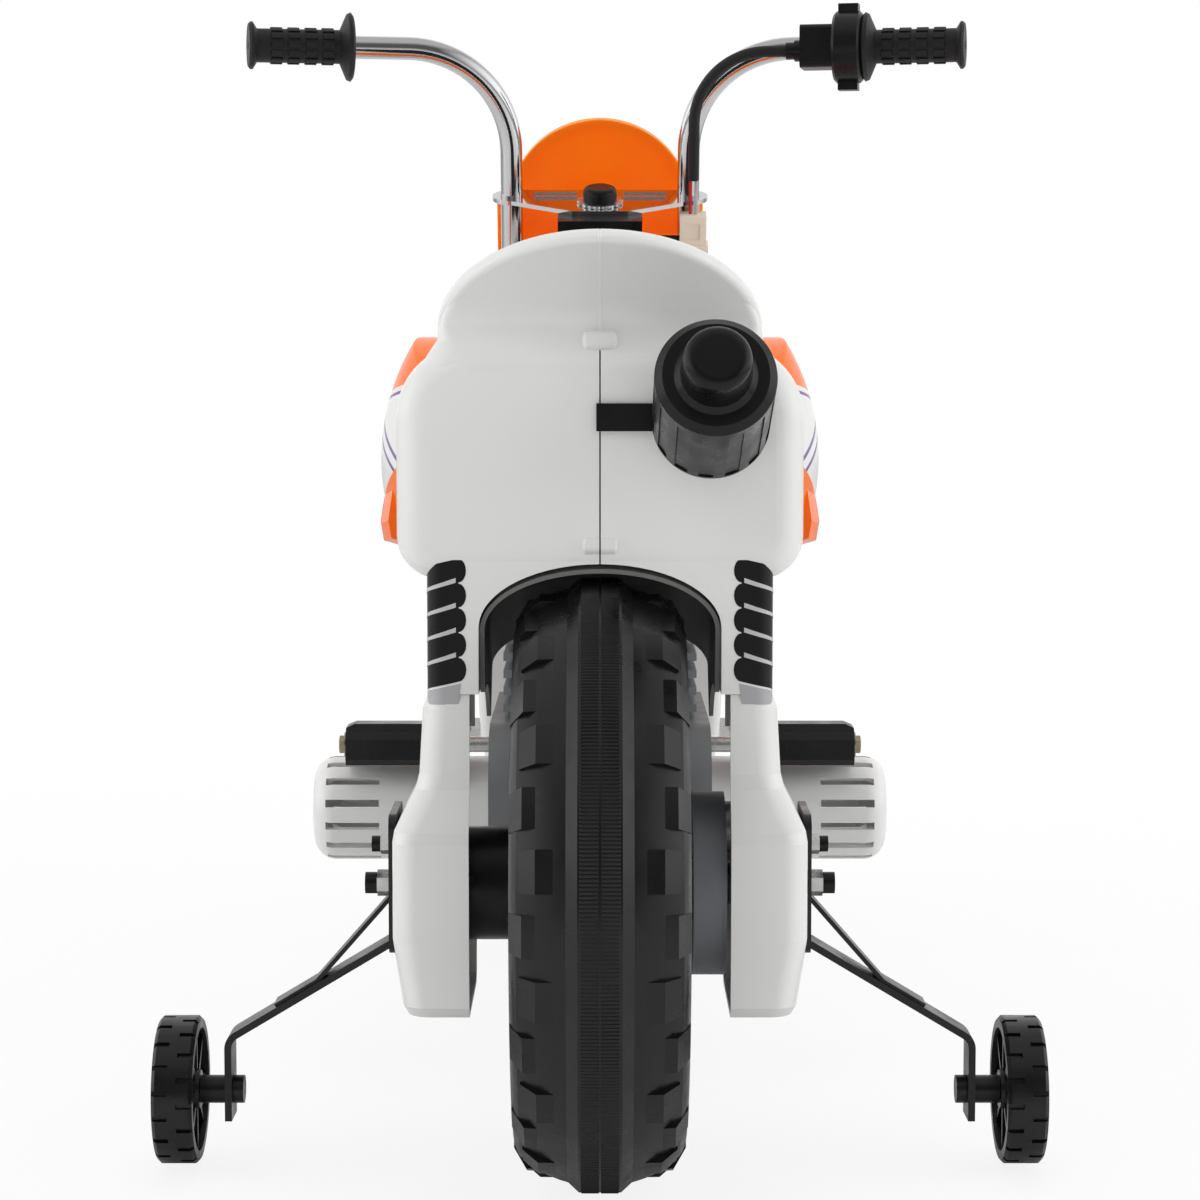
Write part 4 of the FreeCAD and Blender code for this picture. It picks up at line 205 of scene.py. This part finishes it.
PAINT_EDGE = 0.0002
BROW_SLOPE, CROSS_SLOPE, REAR_SLOPE = 0.14, 0.42, 0.49
CROSS_STRIPES = ((0.3995, 0.4025), (0.3900, 0.3930))
BROW_STRIPE = (0.4400, 0.4425)
BROW_FROM = (0.4460, 0.4464)
FOOT_FROM = (0.3680, 0.3676)
REAR_FROM = (0.3824, 0.3820)


def shroud_paint():
    """White side shroud with an orange brow, an orange foot that rises behind, and purple pinstripes."""
    paint = Finish("shroud_two_tone", WHITE, 0.25, specular=0.2, **WHITE_SKIN)
    tree = paint.tree
    _, y, z = split(tree, paint.coords)
    slant = math_node(tree, "ADD", z, math_node(tree, "MULTIPLY", y, BROW_SLOPE))
    cross = math_node(tree, "SUBTRACT", z, math_node(tree, "MULTIPLY", y, CROSS_SLOPE))
    rear = math_node(tree, "ADD", z, math_node(tree, "MULTIPLY", y, REAR_SLOPE))
    for low, high in CROSS_STRIPES:
        paint.paint(band(tree, cross, low, high, PAINT_EDGE), PURPLE)
    paint.paint(band(tree, slant, *BROW_STRIPE, PAINT_EDGE), PURPLE)
    for height, edge in ((slant, BROW_FROM), (slant, FOOT_FROM), (rear, REAR_FROM)):
        paint.paint(remap(tree, height, *edge, 0.0, 1.0), ORANGE)
    return paint


shroud = shroud_paint()

FINISHES = (
    (white, "body_left body_right leg_cover_left leg_cover_right fork_leg_left fork_leg_right "
            "engine_cover_left engine_cover_right"),
    (orange, "front_fender"),
    (lit_plate_orange, "number_plate"),
    (shroud, "shroud_left shroud_right"),
    (black, "muffler muffler_bar foot_peg_left foot_peg_right dash_panel stem_knob nut_caps throttle_housing "
            "axle_spacer control_box charge_socket direction_switch"),
    (black_grained, "seat"),
    (tyre, "front_tyre rear_tyre training_wheel_left training_wheel_right"),
    (dark_grey, "front_rim rear_rim"),
    (guard_grey, "inner_mudguard"),
    (chrome, "handlebar_left handlebar_right upper_clamp"),
    (black_steel, "main_frame training_bracket_left training_bracket_right lower_clamp training_axles"),
    (zinc, "rear_axle front_axle fixing_nuts foot_peg_bar steering_stem"),
    (brass, "peg_bolts"),
    (gear_grey, "gearbox_case gearbox_cover"),
    (engine_grey, "engine_block"),
    (rubber, "left_grip throttle_grip throttle_cable"),
    (ivory, "cable_connector output_gear idler_gear motor_pinion"),
    (steel, "drive_motor"),
    (battery_grey, "battery"),
    (red, "power_button"),
)

SOFT_EDGE = math.radians(32)
EVEN_SHADED = (white, orange, lit_plate_orange, shroud)


def soften(mesh):
    mesh.shade_smooth()
    mesh.set_sharp_from_angle(angle=SOFT_EDGE)


def dress(name, finish):
    node = NODES[name]
    mesh = node.data
    mesh.materials.clear()
    mesh.materials.append(finish.material)
    soften(mesh)
    if finish in EVEN_SHADED:
        even = node.modifiers.new("even_shading", "WEIGHTED_NORMAL")
        even.keep_sharp = True


for finish, names in FINISHES:
    for name in names.split():
        dress(name, finish)


# Added pieces

def piece(name, bm, finish, body, smooth=True):
    mesh = bpy.data.meshes.new(name)
    bm.normal_update()
    bm.to_mesh(mesh)
    bm.free()
    if smooth:
        soften(mesh)
    mesh.materials.append(finish.material)
    obj = bpy.data.objects.new(name, mesh)
    bpy.context.scene.collection.objects.link(obj)
    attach(obj, body)


def join_rings(bm, rings):
    """Joins each ring of vertices to the next one."""
    for ring, following in zip(rings, rings[1:]):
        for spot in range(len(ring)):
            ahead = (spot + 1) % len(ring)
            bm.faces.new((ring[spot], following[spot], following[ahead], ring[ahead]))


def hoop(bm, rings):
    """A closed loop of rings: the last one meets the first."""
    join_rings(bm, rings + rings[:1])
    bmesh.ops.recalc_face_normals(bm, faces=bm.faces)


def capped_tube(bm, rings):
    """A run of rings with a face at each end."""
    join_rings(bm, rings)
    bm.faces.new(rings[0])
    bm.faces.new(rings[-1][::-1])
    bmesh.ops.recalc_face_normals(bm, faces=bm.faces)


def around(steps):
    return [2 * math.pi * index / steps for index in range(steps)]


# Fine ribs on the tyres

HALF_BASE = 0.34
WHEEL_RADIUS = 0.170
RIB_COUNT = 500
RIB_HALF = 0.0106
RIB_HIGH = 0.0007
RIB_FLANK = 0.0006
RIB_SINK = 0.0002
RIB_SHAPE = (0.0, 0.25, 1.0, 0.8)
PARTING_FLOOR, PARTING_EDGE = 0.0003, 0.0007
BAND_DEEP = 0.0012
RIB_ROWS = ((-RIB_HALF, 0.0), (-RIB_HALF + RIB_FLANK, 1.0), (-PARTING_EDGE, 1.0), (-PARTING_FLOOR, 0.0),
            (PARTING_FLOOR, 0.0), (PARTING_EDGE, 1.0), (RIB_HALF - RIB_FLANK, 1.0), (RIB_HALF, 0.0))


def tread_band(name, along, body):
    """Fine cross ribs on the raised middle of a tyre, with a parting line left between two halves."""
    bm = bmesh.new()
    rings = []
    for index, angle in enumerate(around(RIB_COUNT * len(RIB_SHAPE))):
        lift = RIB_SHAPE[index % len(RIB_SHAPE)]
        corners = [(across, WHEEL_RADIUS - RIB_SINK + RIB_HIGH * lift * share) for across, share in RIB_ROWS]
        corners += [(across, WHEEL_RADIUS - BAND_DEEP) for across in (RIB_HALF, -RIB_HALF)]
        rings.append([bm.verts.new((across, along + radius * math.cos(angle), WHEEL_RADIUS + radius * math.sin(angle)))
                      for across, radius in corners])
    hoop(bm, rings)
    piece(name, bm, tyre, body)


tread_band("rear_tread_ribs", -HALF_BASE, "rear_wheel")
tread_band("front_tread_ribs", HALF_BASE, "front_wheel")


# Small fittings on the steering head, in the frame of the raked fork

RAKE = math.radians(20)
FORK = Matrix.Translation((0.0, HALF_BASE, WHEEL_RADIUS)) @ Matrix.Rotation(RAKE, 4, "X")
STEM_BACK = 0.018
WASHER_STEPS = 64
WASHER_HOLE = 0.0122
WASHER_LOW, WASHER_HIGH, WASHER_INNER_HIGH = 0.4351, 0.4369, 0.4372
WASHER_TEETH = ((0.0166, 0.0003), (0.0166, 0.0003), (0.0152, -0.0001), (0.0152, -0.0001))
WIRE_STEPS = 14
WIRES_SIDE = 0.067
WIRE_GAP = 0.002
WIRE_RINGS = ((0.4268, 0.00118), (0.4400, 0.00122), (0.4523, 0.00118))


def star_washer():
    """Toothed zinc washer under the stem knob."""
    bm = bmesh.new()
    rings = []
    for index, angle in enumerate(around(WASHER_STEPS)):
        edge, twist = WASHER_TEETH[index % len(WASHER_TEETH)]
        corners = ((WASHER_HOLE, WASHER_LOW), (edge, WASHER_LOW + twist), (edge, WASHER_HIGH + twist),
                   (WASHER_HOLE, WASHER_INNER_HIGH))
        spots = [Vector((radius * math.cos(angle), radius * math.sin(angle) - STEM_BACK, high))
                 for radius, high in corners]
        rings.append([bm.verts.new(FORK @ spot) for spot in spots])
    hoop(bm, rings)
    piece("star_washer", bm, zinc, "steering")


def wire_coat(name, shift, finish):
    """Coloured coat of one wire between the cable sleeve and the plug."""
    bm = bmesh.new()
    rings = []
    for high, radius in WIRE_RINGS:
        spots = [Vector((WIRES_SIDE + shift + radius * math.cos(angle), -STEM_BACK + radius * math.sin(angle), high))
                 for angle in around(WIRE_STEPS)]
        rings.append([bm.verts.new(FORK @ spot) for spot in spots])
    capped_tube(bm, rings)
    piece(name, bm, finish, "steering")


star_washer()
wire_coat("red_wire_coat", -WIRE_GAP, red)
wire_coat("pale_wire_coat", WIRE_GAP, silver)


# Cove between the tail and the rear wall

CREASE = Vector((0.0, -0.345, 0.472))
TAIL_SLOPE = math.radians(34.3)
TAIL_HALF = 0.089
TAIL_LONG = 0.092
TAIL_INSET = 0.0005
TAIL_EDGE = 0.005
WALL_BACK = -0.378
BODY_TOP = 0.470
WALL_ROUND = 0.016
COVE_ENDS = (0.4620, 0.4940)
COVE_SINK = 0.0012
COVE_RUNOUT = 0.006
COVE_DEEP = 0.010
COVE_ROWS, COVE_COLUMNS = 36, 32
EDGE_FADE = 0.018
SLOPE_STEP = 0.0001
SEAM_HALF = 0.0004
SHOULDER_LINE = ((0.454, 0.0995), (0.464, 0.0940), (0.472, 0.0885))


def tail_line(high):
    """Depth of the inclined tail at a height."""
    return CREASE.y - (high - CREASE.z) / math.tan(TAIL_SLOPE)


def roll_line(high):
    """Depth of the rounded upper edge of the rear wall at a height."""
    deep = WALL_ROUND - (BODY_TOP - high)
    return WALL_BACK + WALL_ROUND - math.sqrt(WALL_ROUND ** 2 - deep ** 2)


def cove_line(high):
    """Depth of the cove in the middle: it leaves the wall's edge and runs into the tail."""
    low, top = COVE_ENDS
    span = top - low
    if high < low:
        return roll_line(high) + COVE_SINK * (low - high) / COVE_RUNOUT
    if high > top:
        return tail_line(high) + COVE_SINK * (high - top) / COVE_RUNOUT
    share = (high - low) / span
    rise = (roll_line(low) - roll_line(low - SLOPE_STEP)) / SLOPE_STEP * span
    run = -span / math.tan(TAIL_SLOPE)
    start = (2 * share ** 3 - 3 * share ** 2 + 1) * roll_line(low) + (share ** 3 - 2 * share ** 2 + share) * rise
    return start + (3 * share ** 2 - 2 * share ** 3) * tail_line(top) + (share ** 3 - share ** 2) * run


def outline_half(high):
    """Half width of the body at a height, as seen from behind."""
    if high >= CREASE.z:
        along = (high - CREASE.z) / math.sin(TAIL_SLOPE)
        return TAIL_HALF * math.sqrt(1 - (along / TAIL_LONG) ** 2) - TAIL_INSET
    for (low, wide), (top, narrow) in zip(SHOULDER_LINE, SHOULDER_LINE[1:]):
        if high <= top:
            return wide + (narrow - wide) * (high - low) / (top - low)
    return SHOULDER_LINE[-1][1]


def slab(bm, front, back):
    """Closes two equal grids of vertices into one solid."""
    last_row, last_column = len(front) - 1, len(front[0]) - 1
    for row in range(last_row):
        for column in range(last_column):
            for grid in (front, back):
                bm.faces.new((grid[row][column], grid[row][column + 1],
                              grid[row + 1][column + 1], grid[row + 1][column]))
    rim = [(0, column) for column in range(last_column + 1)]
    rim += [(row, last_column) for row in range(1, last_row + 1)]
    rim += [(last_row, column) for column in range(last_column - 1, -1, -1)]
    rim += [(row, 0) for row in range(last_row - 1, 0, -1)]
    for (row, column), (next_row, next_column) in zip(rim, rim[1:] + rim[:1]):
        bm.faces.new((front[row][column], front[next_row][next_column],
                      back[next_row][next_column], back[row][column]))
    bmesh.ops.recalc_face_normals(bm, faces=bm.faces)


def tail_cove(name, side):
    """One half of the smooth hollow that carries the tail into the wall and its shoulders."""
    bm = bmesh.new()
    front = []
    back = []
    low, top = COVE_ENDS[0] - COVE_RUNOUT, COVE_ENDS[1] + COVE_RUNOUT
    for row in range(COVE_ROWS + 1):
        high = low + (top - low) * row / COVE_ROWS
        wide = outline_half(high)
        share = min(1.0, max(0.0, (high - COVE_ENDS[0]) / EDGE_FADE))
        edge = WALL_ROUND + (TAIL_EDGE - WALL_ROUND) * share
        front_row = []
        back_row = []
        for column in range(COVE_COLUMNS + 1):
            across = SEAM_HALF + (wide - SEAM_HALF) * math.sin(math.pi / 2 * column / COVE_COLUMNS)
            inward = max(0.0, edge - (wide - across))
            depth = cove_line(high) + edge - math.sqrt(edge ** 2 - inward ** 2)
            front_row.append(bm.verts.new((side * across, depth, high)))
            back_row.append(bm.verts.new((side * across, depth + COVE_DEEP, high)))
        front.append(front_row)
        back.append(back_row)
    slab(bm, front, back)
    piece("tail_cove_" + name, bm, white, "chassis")


KNUCKLE_DEPTH = cove_line(CREASE.z)
KNUCKLE_HIGH = CREASE.z - 0.0005
KNUCKLE_RADIUS = 0.0055
KNUCKLE_HALF = 0.0095
KNUCKLE_ROUND = 0.003
KNUCKLE_STEPS = 28
KNUCKLE_ROUND_STEPS = 6


def seam_knuckle():
    """Rounded lug across the seam."""
    bm = bmesh.new()
    profile = []
    for index in range(KNUCKLE_ROUND_STEPS + 1):
        turn = math.pi / 2 * index / KNUCKLE_ROUND_STEPS
        profile.append((-KNUCKLE_HALF + KNUCKLE_ROUND - KNUCKLE_ROUND * math.cos(turn),
                        KNUCKLE_RADIUS - KNUCKLE_ROUND + KNUCKLE_ROUND * math.sin(turn)))
    profile += [(-across, size) for across, size in profile[::-1]]
    rings = []
    for across, size in profile:
        rings.append([bm.verts.new((across, KNUCKLE_DEPTH + size * math.cos(angle),
                                    KNUCKLE_HIGH + size * math.sin(angle)))
                      for angle in around(KNUCKLE_STEPS)])
    capped_tube(bm, rings)
    piece("seam_knuckle", bm, white, "chassis")


for name, side in SIDES:
    tail_cove(name, side)
seam_knuckle()


# Moulding flash in the seam of the tail

FLASH_HALF = 0.0010
FLASH_CREST = FLASH_HALF / 2
FLASH_PROUD = 0.0007
FLASH_SINK = 0.0001
FLASH_DEEP = 0.002
FLASH_ENDS = (0.4755, 0.5310)
FLASH_STEPS = 40
FLASH_CORNERS = ((-FLASH_HALF, FLASH_SINK), (-FLASH_CREST, -FLASH_PROUD), (FLASH_CREST, -FLASH_PROUD),
                 (FLASH_HALF, FLASH_SINK), (FLASH_HALF, FLASH_DEEP), (-FLASH_HALF, FLASH_DEEP))
BESIDE_SEAM = 0.0012
FAR_BEHIND = -1.0


def tail_depth(high):
    """Where a line of sight from behind meets the body beside the seam."""
    half = NODES["body_right"]
    into = half.matrix_world.inverted()
    start = into @ Vector((BESIDE_SEAM, FAR_BEHIND, high))
    hit, spot, *_ = half.ray_cast(start, into.to_3x3() @ Vector((0.0, 1.0, 0.0)))
    return (half.matrix_world @ spot).y if hit else None


def seam_flash():
    """Thin white bead that closes the seam along the tail, up to the tail's upper edge."""
    bm = bmesh.new()
    rings = []
    low, high = FLASH_ENDS
    for index in range(FLASH_STEPS + 1):
        level = low + (high - low) * index / FLASH_STEPS
        depth = tail_depth(level)
        if depth is None:
            break
        if level < COVE_ENDS[1]:
            depth = min(depth, cove_line(level))
        rings.append([bm.verts.new((across, depth + shift, level)) for across, shift in FLASH_CORNERS])
    capped_tube(bm, rings)
    piece("seam_flash", bm, white, "chassis")


seam_flash()


# Printed coil springs on the upper legs

LEG_BACK = -0.377
LEG_SIDE = 0.094
LEG_ROUND = 0.009
PRINT_START = 0.072
PRINT_SINK = 0.0002
PRINT_LIFT = 0.00025
STRIPE_LIFT = 0.0005
CUT_STEP = 0.0015
CUT_COUNT = 31
COIL_PITCH = 0.0135
COIL_TOP = 0.3475
COIL_COUNT = 5
COIL_WIDTH = 0.040
COIL_DROP = 0.0070
COIL_INSET = 0.0048
LOBE_BULGE = 0.0042
LOBE_FILL = 0.96
LOBE_STEPS = 8
STRIPE_NEAR, STRIPE_FAR = 0.0062, 0.0300
STRIPE_DROP = 0.0008
STRIPE_FALL = -0.3 * (STRIPE_FAR - STRIPE_NEAR)
STRIPE_CORNERS = ((STRIPE_NEAR, 0.0036), (STRIPE_FAR, 0.0026 + STRIPE_FALL),
                  (STRIPE_FAR, 0.0010 + STRIPE_FALL), (STRIPE_NEAR, 0.0010))
FOOT_CORNERS = ((0.0035, -0.0008), (0.0365, -0.0080), (0.0365, -0.0130), (0.0050, -0.0120))


def leg_spot(side, along, high, lift):
    """A point on the rear and outer faces of an upper leg, a distance along from the print's inner edge."""
    flat = LEG_SIDE - LEG_ROUND - PRINT_START
    arc = LEG_ROUND * math.pi / 2
    if along <= flat:
        spot = Vector((PRINT_START + along, LEG_BACK - lift, high))
    elif along <= flat + arc:
        angle = (along - flat) / LEG_ROUND
        reach = LEG_ROUND + lift
        spot = Vector((LEG_SIDE - LEG_ROUND + reach * math.sin(angle),
                       LEG_BACK + LEG_ROUND - reach * math.cos(angle), high))
    else:
        spot = Vector((LEG_SIDE + lift, LEG_BACK + LEG_ROUND + along - flat - arc, high))
    spot.x *= side
    return spot


def leg_print(name, side, corners, finish, lift):
    """A thin patch that follows the leg's surface, from its outline in the unrolled face."""
    bm = bmesh.new()
    bm.faces.new([bm.verts.new((along, high, 0.0)) for along, high in corners])
    for step in range(1, CUT_COUNT + 1):
        bmesh.ops.bisect_plane(bm, geom=bm.verts[:] + bm.edges[:] + bm.faces[:],
                               plane_co=(step * CUT_STEP, 0, 0), plane_no=(1, 0, 0))
    bmesh.ops.triangulate(bm, faces=bm.faces)
    base = bm.verts[:]
    shell = bmesh.ops.extrude_face_region(bm, geom=bm.faces[:])
    top = [item for item in shell["geom"] if isinstance(item, bmesh.types.BMVert)]
    for verts, height in ((top, lift), (base, -PRINT_SINK)):
        for vert in verts:
            vert.co = leg_spot(side, vert.co.x, vert.co.y, height)
    bmesh.ops.recalc_face_normals(bm, faces=bm.faces)
    piece(name, bm, finish, "chassis", smooth=False)


def coil_outline():
    """Scalloped outline of the spring: rounded lobes on both edges, lower towards the outer edge."""
    lobe = COIL_PITCH / 2
    inner = []
    outer = []
    for index in range(COIL_COUNT):
        middle = COIL_TOP - index * COIL_PITCH
        for step in range(LOBE_STEPS + 1):
            angle = math.pi / 2 - math.pi * step / LOBE_STEPS
            bulge = LOBE_BULGE * math.cos(angle)
            rise = lobe * LOBE_FILL * math.sin(angle)
            inner.append((COIL_INSET - bulge, middle + rise))
            outer.append((COIL_WIDTH - COIL_INSET + bulge, middle - COIL_DROP + rise))
    return inner[::-1] + outer


def coil_print(name, side):
    """Black spring with pale gaps between its turns and a silver foot."""
    leg_print("coil_print_" + name, side, coil_outline(), black, PRINT_LIFT)
    for index in range(COIL_COUNT - 1):
        high = COIL_TOP - (index + 0.5) * COIL_PITCH - STRIPE_DROP
        stripe = [(along, high + rise) for along, rise in STRIPE_CORNERS]
        leg_print("coil_gap_%s_%d" % (name, index), side, stripe, pale_print, STRIPE_LIFT)
    foot = COIL_TOP - (COIL_COUNT - 0.5) * COIL_PITCH
    plate = [(along, foot + rise) for along, rise in FOOT_CORNERS]
    leg_print("coil_foot_" + name, side, plate, silver, PRINT_LIFT)


for name, side in SIDES:
    coil_print(name, side)


# Smooth pads on the foot pegs

PEG_Y = -0.060
PAD_FOOT, PAD_FOOT_HALF = 0.2212, 0.0119
PAD_SECTIONS = ((0.0922, 0.2255, 0.0085), (0.1590, 0.2255, 0.0085), (0.1643, 0.2231, 0.0100))


def peg_pad(name, side):
    """Low pad over the grooves of a foot peg, sloping down at its outer end."""
    bm = bmesh.new()
    rings = []
    for across, top, top_half in PAD_SECTIONS:
        corners = ((-PAD_FOOT_HALF, PAD_FOOT), (PAD_FOOT_HALF, PAD_FOOT), (top_half, top), (-top_half, top))
        rings.append([bm.verts.new((side * across, PEG_Y + shift, high)) for shift, high in corners])
    capped_tube(bm, rings)
    piece("peg_pad_" + name, bm, black, "chassis")


for name, side in SIDES:
    peg_pad(name, side)


# Camera, light and floor

LENS, SENSOR = 89.56, 36.0
CAMERA_SPOT = (0.0, -1.990, 0.465)
CAMERA_DOWN = 4.73
LAMPS = (
    ("key", (-1.4, -1.9, 2.3), (0, -0.2, 0.35), 1.4, 1.4, 9),
    ("fill", (1.9, -1.6, 1.3), (0, -0.2, 0.35), 1.6, 1.6, 6),
    ("low", (0.0, -2.6, 0.25), (0, 0, 0.35), 2.4, 0.5, 4.5),
    ("left_side", (-2.3, -0.6, 0.9), (0, 0, 0.3), 1.0, 1.2, 14),
    ("right_side", (2.3, -0.6, 0.9), (0, 0, 0.3), 1.0, 1.2, 14),
    ("top", (0.0, 0.3, 2.6), (0, 0, 0.3), 1.8, 1.8, 20),
    ("front", (0.6, 2.4, 1.5), (0, 0.2, 0.35), 1.6, 1.6, 18),
)
SKY_WHITE = 1.0
SKY_LIGHT = 0.5
BACKDROP_FADE = (-0.1, 0.7, 0.14, 1.0)
SIDE_BOXES = (0.5, 0.95, 0.0, 1.7)
CEILING_BOX = (0.45, 0.85, 0.0, 0.7)
FLOOR_SIZE = 14.0
FLOOR_CELLS = 4
FLOOR_DROP = -0.0008
FLOOR_COLOR = (0.86, 0.86, 0.86, 1.0)
FLOOR_FADE = (0.5, 1.6, 0.86, 1.0)


def camera():
    data = bpy.data.cameras.new("photo_camera")
    data.sensor_width = SENSOR
    data.sensor_fit = "HORIZONTAL"
    data.lens = LENS
    obj = bpy.data.objects.new("photo_camera", data)
    obj.location = CAMERA_SPOT
    obj.rotation_euler = (math.radians(90 - CAMERA_DOWN), 0.0, 0.0)
    bpy.context.scene.collection.objects.link(obj)
    bpy.context.scene.camera = obj


def lamp(name, spot, target, wide, tall, power):
    data = bpy.data.lights.new(name, "AREA")
    data.shape = "RECTANGLE"
    data.size = wide
    data.size_y = tall
    data.energy = power
    obj = bpy.data.objects.new(name, data)
    obj.location = spot
    obj.rotation_euler = (Vector(target) - Vector(spot)).to_track_quat("-Z", "Y").to_euler()
    obj.visible_glossy = False
    bpy.context.scene.collection.objects.link(obj)


def seen_by_eye(tree):
    """1 for camera and transmitted rays."""
    path = add(tree, "ShaderNodeLightPath")
    return math_node(tree, "MAXIMUM", path.outputs["Is Camera Ray"], path.outputs["Is Transmission Ray"])


def backdrop(tree, strength):
    node = add(tree, "ShaderNodeBackground")
    node.inputs["Color"].default_value = (1.0, 1.0, 1.0, 1.0)
    if isinstance(strength, float):
        node.inputs["Strength"].default_value = strength
    else:
        wire(tree, strength, node.inputs["Strength"])
    return node.outputs["Background"]


def choose(tree, factor, first, second):
    node = add(tree, "ShaderNodeMixShader")
    wire(tree, factor, node.inputs["Fac"])
    wire(tree, first, node.inputs[1])
    wire(tree, second, node.inputs[2])
    return node.outputs["Shader"]


def world():
    """White to the eye; reflections see the white backdrop, soft boxes at the sides and above, and a dim room."""
    sky = bpy.data.worlds.new("studio")
    bpy.context.scene.world = sky
    sky.use_nodes = True
    tree = sky.node_tree
    tree.nodes.remove(tree.nodes["Background"])
    x, y, z = split(tree, add(tree, "ShaderNodeTexCoord").outputs["Generated"])
    wall = remap(tree, y, *BACKDROP_FADE)
    sides = remap(tree, math_node(tree, "ABSOLUTE", x), *SIDE_BOXES)
    ceiling = remap(tree, z, *CEILING_BOX)
    level = math_node(tree, "MAXIMUM", wall, sides)
    studio = backdrop(tree, math_node(tree, "MAXIMUM", level, ceiling))
    glossy = add(tree, "ShaderNodeLightPath").outputs["Is Glossy Ray"]
    unseen = choose(tree, glossy, backdrop(tree, SKY_LIGHT), studio)
    seen = choose(tree, seen_by_eye(tree), unseen, backdrop(tree, SKY_WHITE))
    wire(tree, seen, tree.nodes["World Output"].inputs["Surface"])


def floor():
    """Pale matt floor that fades to plain white away from the object."""
    bm = bmesh.new()
    bmesh.ops.create_grid(bm, x_segments=FLOOR_CELLS, y_segments=FLOOR_CELLS, size=FLOOR_SIZE)
    mesh = bpy.data.meshes.new("floor")
    bm.to_mesh(mesh)
    bm.free()
    obj = bpy.data.objects.new("floor", mesh)
    obj.location = (0.0, 0.0, FLOOR_DROP)
    bpy.context.scene.collection.objects.link(obj)
    mat = bpy.data.materials.new("pale_floor")
    mat.use_nodes = True
    tree = mat.node_tree
    tree.nodes.remove(tree.nodes["Principled BSDF"])
    matt = add(tree, "ShaderNodeBsdfDiffuse")
    matt.inputs["Color"].default_value = FLOOR_COLOR
    glow = add(tree, "ShaderNodeEmission")
    glow.inputs["Strength"].default_value = SKY_WHITE
    away = add(tree, "ShaderNodeVectorMath", operation="LENGTH")
    wire(tree, add(tree, "ShaderNodeTexCoord").outputs["Object"], away.inputs[0])
    share = remap(tree, away.outputs["Value"], *FLOOR_FADE)
    factor = math_node(tree, "MULTIPLY", seen_by_eye(tree), share)
    surface = choose(tree, factor, matt.outputs["BSDF"], glow.outputs["Emission"])
    wire(tree, surface, tree.nodes["Material Output"].inputs["Surface"])
    mesh.materials.append(mat)


camera()
world()
floor()
for row in LAMPS:
    lamp(*row)

bpy.context.scene.view_settings.view_transform = "Standard"
